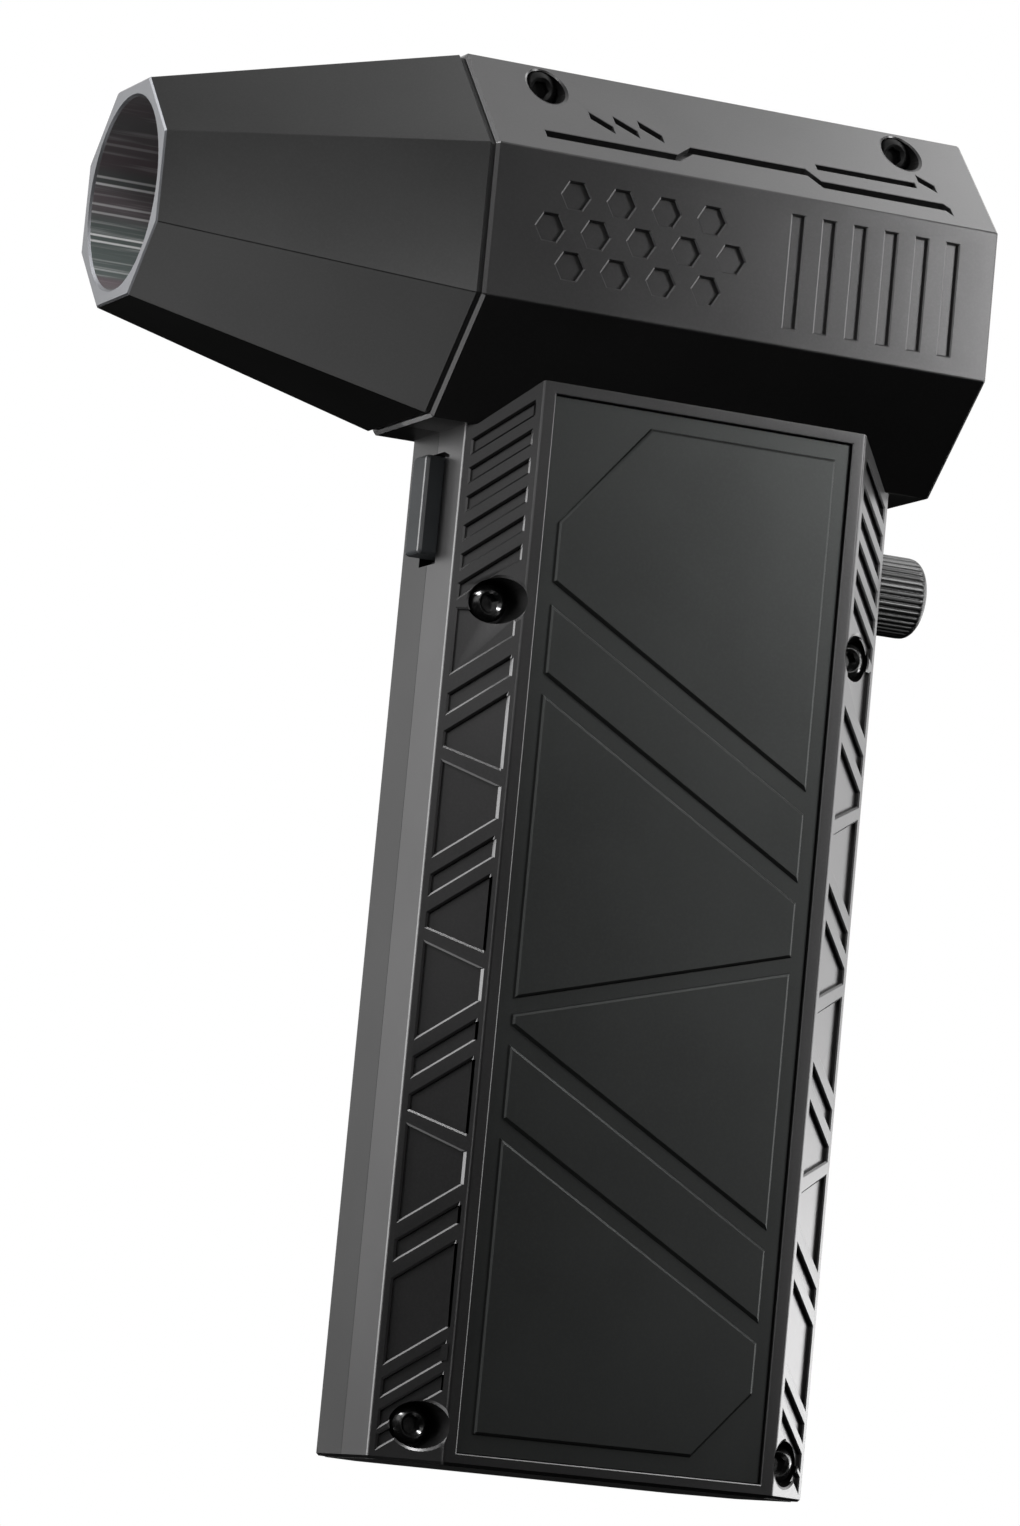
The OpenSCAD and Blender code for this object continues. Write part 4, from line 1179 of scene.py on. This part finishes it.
def floor():
    """A pale one-sided floor that fades out towards its rim."""
    bm = bmesh.new()
    bmesh.ops.create_circle(bm, cap_ends=True, radius=FLOOR_R, segments=96)
    made = solid(bm, "floor")
    made.location.z = -FLOOR_DROP
    s = start("pale_floor")
    spot = s.node("ShaderNodeTexCoord", out="Object")
    reach = s.node("ShaderNodeVectorMath", {"operation": "LENGTH"}, {0: spot}, out="Value")
    back = s.node("ShaderNodeNewGeometry", out="Backfacing")
    gone = back.calc("MAXIMUM", back, reach.between(FLOOR_R * 0.55, FLOOR_R * 0.99))
    paint = s.node("ShaderNodeBsdfDiffuse", None, {"Color": grey(0.82)})
    clear = s.node("ShaderNodeBsdfTransparent")
    shader = s.node("ShaderNodeMixShader", None, {0: gone, 1: paint, 2: clear})
    s.node("ShaderNodeOutputMaterial", None, {"Surface": shader})
    made.data.materials.append(s.owner)
    made.visible_glossy = False
    made.visible_diffuse = False
    made.visible_transmission = False
    made.visible_shadow = False


BACKDROP = 1.0                              # strengths of the world's parts
SKY = 0.2
HORIZON = 0.1
BELOW = 0.004


def world():
    """White behind the object, a dim room in front of it, dark below."""
    s = Shader(bpy.data.worlds.new("room"))
    bpy.context.scene.world = s.owner
    _, y, z = s.axes(s.node("ShaderNodeTexCoord", out="Generated"))
    path = s.node("ShaderNodeLightPath")
    outputs = path.socket.node.outputs
    camera, glossy, clear = [Wire(s, outputs[n]) for n in
                             ("Is Camera Ray", "Is Glossy Ray", "Is Transmission Ray")]
    behind = y.between(0.1, 0.6) * z.between(-0.02, 0.06)
    shown = camera.calc("MAXIMUM", camera, glossy.calc("MAXIMUM", glossy, clear) * behind)
    glow = BELOW + z.between(-0.15, 0.15) * (HORIZON - BELOW) + z.between(0.2, 0.9) * (SKY - HORIZON)
    room = s.node("ShaderNodeBackground", None, {"Color": grey(1.0), "Strength": glow})
    white = s.node("ShaderNodeBackground", None, {"Color": grey(1.0), "Strength": BACKDROP})
    shader = s.node("ShaderNodeMixShader", None, {0: shown, 1: room, 2: white})
    s.node("ShaderNodeOutputWorld", None, {"Surface": shader})


MIDDLE = Vector((0.0175, 0, 0.09))          # what the lamps face: the grip, the head and the nozzle
HEAD = Vector((0.02, 0, 0.144))
NOSE = Vector((-0.03, 0, 0.144))


def lamp(name, place, target, size, radiance):
    """A soft box that faces a point."""
    data = bpy.data.lights.new(name, "AREA")
    data.shape = "RECTANGLE"
    data.size, data.size_y = size
    data.energy = radiance * math.pi * size[0] * size[1]
    made = bpy.data.objects.new(name, data)
    made.location = place
    made.rotation_euler = (target - Vector(place)).to_track_quat("-Z", "Y").to_euler()
    made.visible_camera = False
    bpy.context.scene.collection.objects.link(made)


def lamps():
    """Rim lamps behind the grip and head, softer ones at the side and over it, and weak ones below."""
    lamp("rear_box", (0.579, 0.199, 0.162), MIDDLE, (0.2, 0.4), 2.3)
    lamp("rear_low_box", (0.56, 0.19, 0.01), MIDDLE, (0.2, 0.14), 4.2)
    lamp("rear_front_box", (0.608, -0.078, 0.162), MIDDLE, (0.2, 0.4), 5.3)
    lamp("back_box", (-0.5, 0.29, 0.162), MIDDLE, (0.36, 0.4), 6.2)
    lamp("back_high_box", (-0.379, 0.204, 0.492), MIDDLE, (0.25, 0.25), 6.0)
    lamp("front_high_box", (-0.253, -0.421, 0.421), MIDDLE, (0.25, 0.25), 1.2)
    lamp("front_edge_box", (-0.33, -0.48, 0.164), MIDDLE, (0.06, 0.4), 3.0)
    lamp("spark", (-0.33, -0.14, 0.47), MIDDLE, (0.13, 0.13), 32.0)
    lamp("front_fill", (-0.415, -0.206, 0.234), MIDDLE, (0.2, 0.2), 0.7)
    lamp("side_spot", (0.13, -0.12, 0.19), HEAD, (0.05, 0.08), 9.0)
    lamp("side_strip", (0.15, -0.14, 0.18), HEAD, (0.07, 0.09), 2.8)
    lamp("side_box", (0.17, -0.2, 0.11), HEAD, (0.08, 0.18), 1.4)
    lamp("slope_box", (0.12, -0.16, 0.34), HEAD, (0.1, 0.1), 1.6)
    lamp("top_box", (0.26, 0.05, 0.42), HEAD, (0.2, 0.16), 4.5)
    lamp("top_front_box", (0.105, 0.03, 0.46), HEAD, (0.14, 0.16), 1.2)
    lamp("nose_box", (-0.035, -0.14, 0.138), NOSE, (0.08, 0.04), 1.3)
    lamp("under_box", (-0.07, -0.09, -0.27), NOSE, (0.14, 0.14), 1.14)
    lamp("under_back_box", (-0.272, 0.053, -0.124), HEAD, (0.14, 0.14), 2.7)
    lamp("behind_low_box", (-0.14, 0.42, -0.08), HEAD, (0.06, 0.06), 7.0)


CAMERA_AT = (-0.303596, -0.737175, -0.015190)
CAMERA_TURN = (97.1277, -5.3703, -23.2108)  # degrees about x, y and z
FOCAL_PIXELS = 6728.95
IMAGE_HEIGHT = 1526


def camera():
    """A long lens, low in front of the object and to its left."""
    data = bpy.data.cameras.new("camera")
    data.sensor_width = 36
    data.lens = FOCAL_PIXELS * data.sensor_width / IMAGE_HEIGHT
    data.clip_end = 20
    made = bpy.data.objects.new("camera", data)
    turn = Euler([math.radians(angle) for angle in CAMERA_TURN])
    made.matrix_world = Matrix.LocRotScale(Vector(CAMERA_AT), turn, None)
    bpy.context.scene.collection.objects.link(made)
    bpy.context.scene.camera = made


bpy.context.scene.view_settings.view_transform = "Standard"
camera()
finishes = make_finishes()
dress_cad_nodes(finishes)
build(finishes)
floor()
world()
lamps()
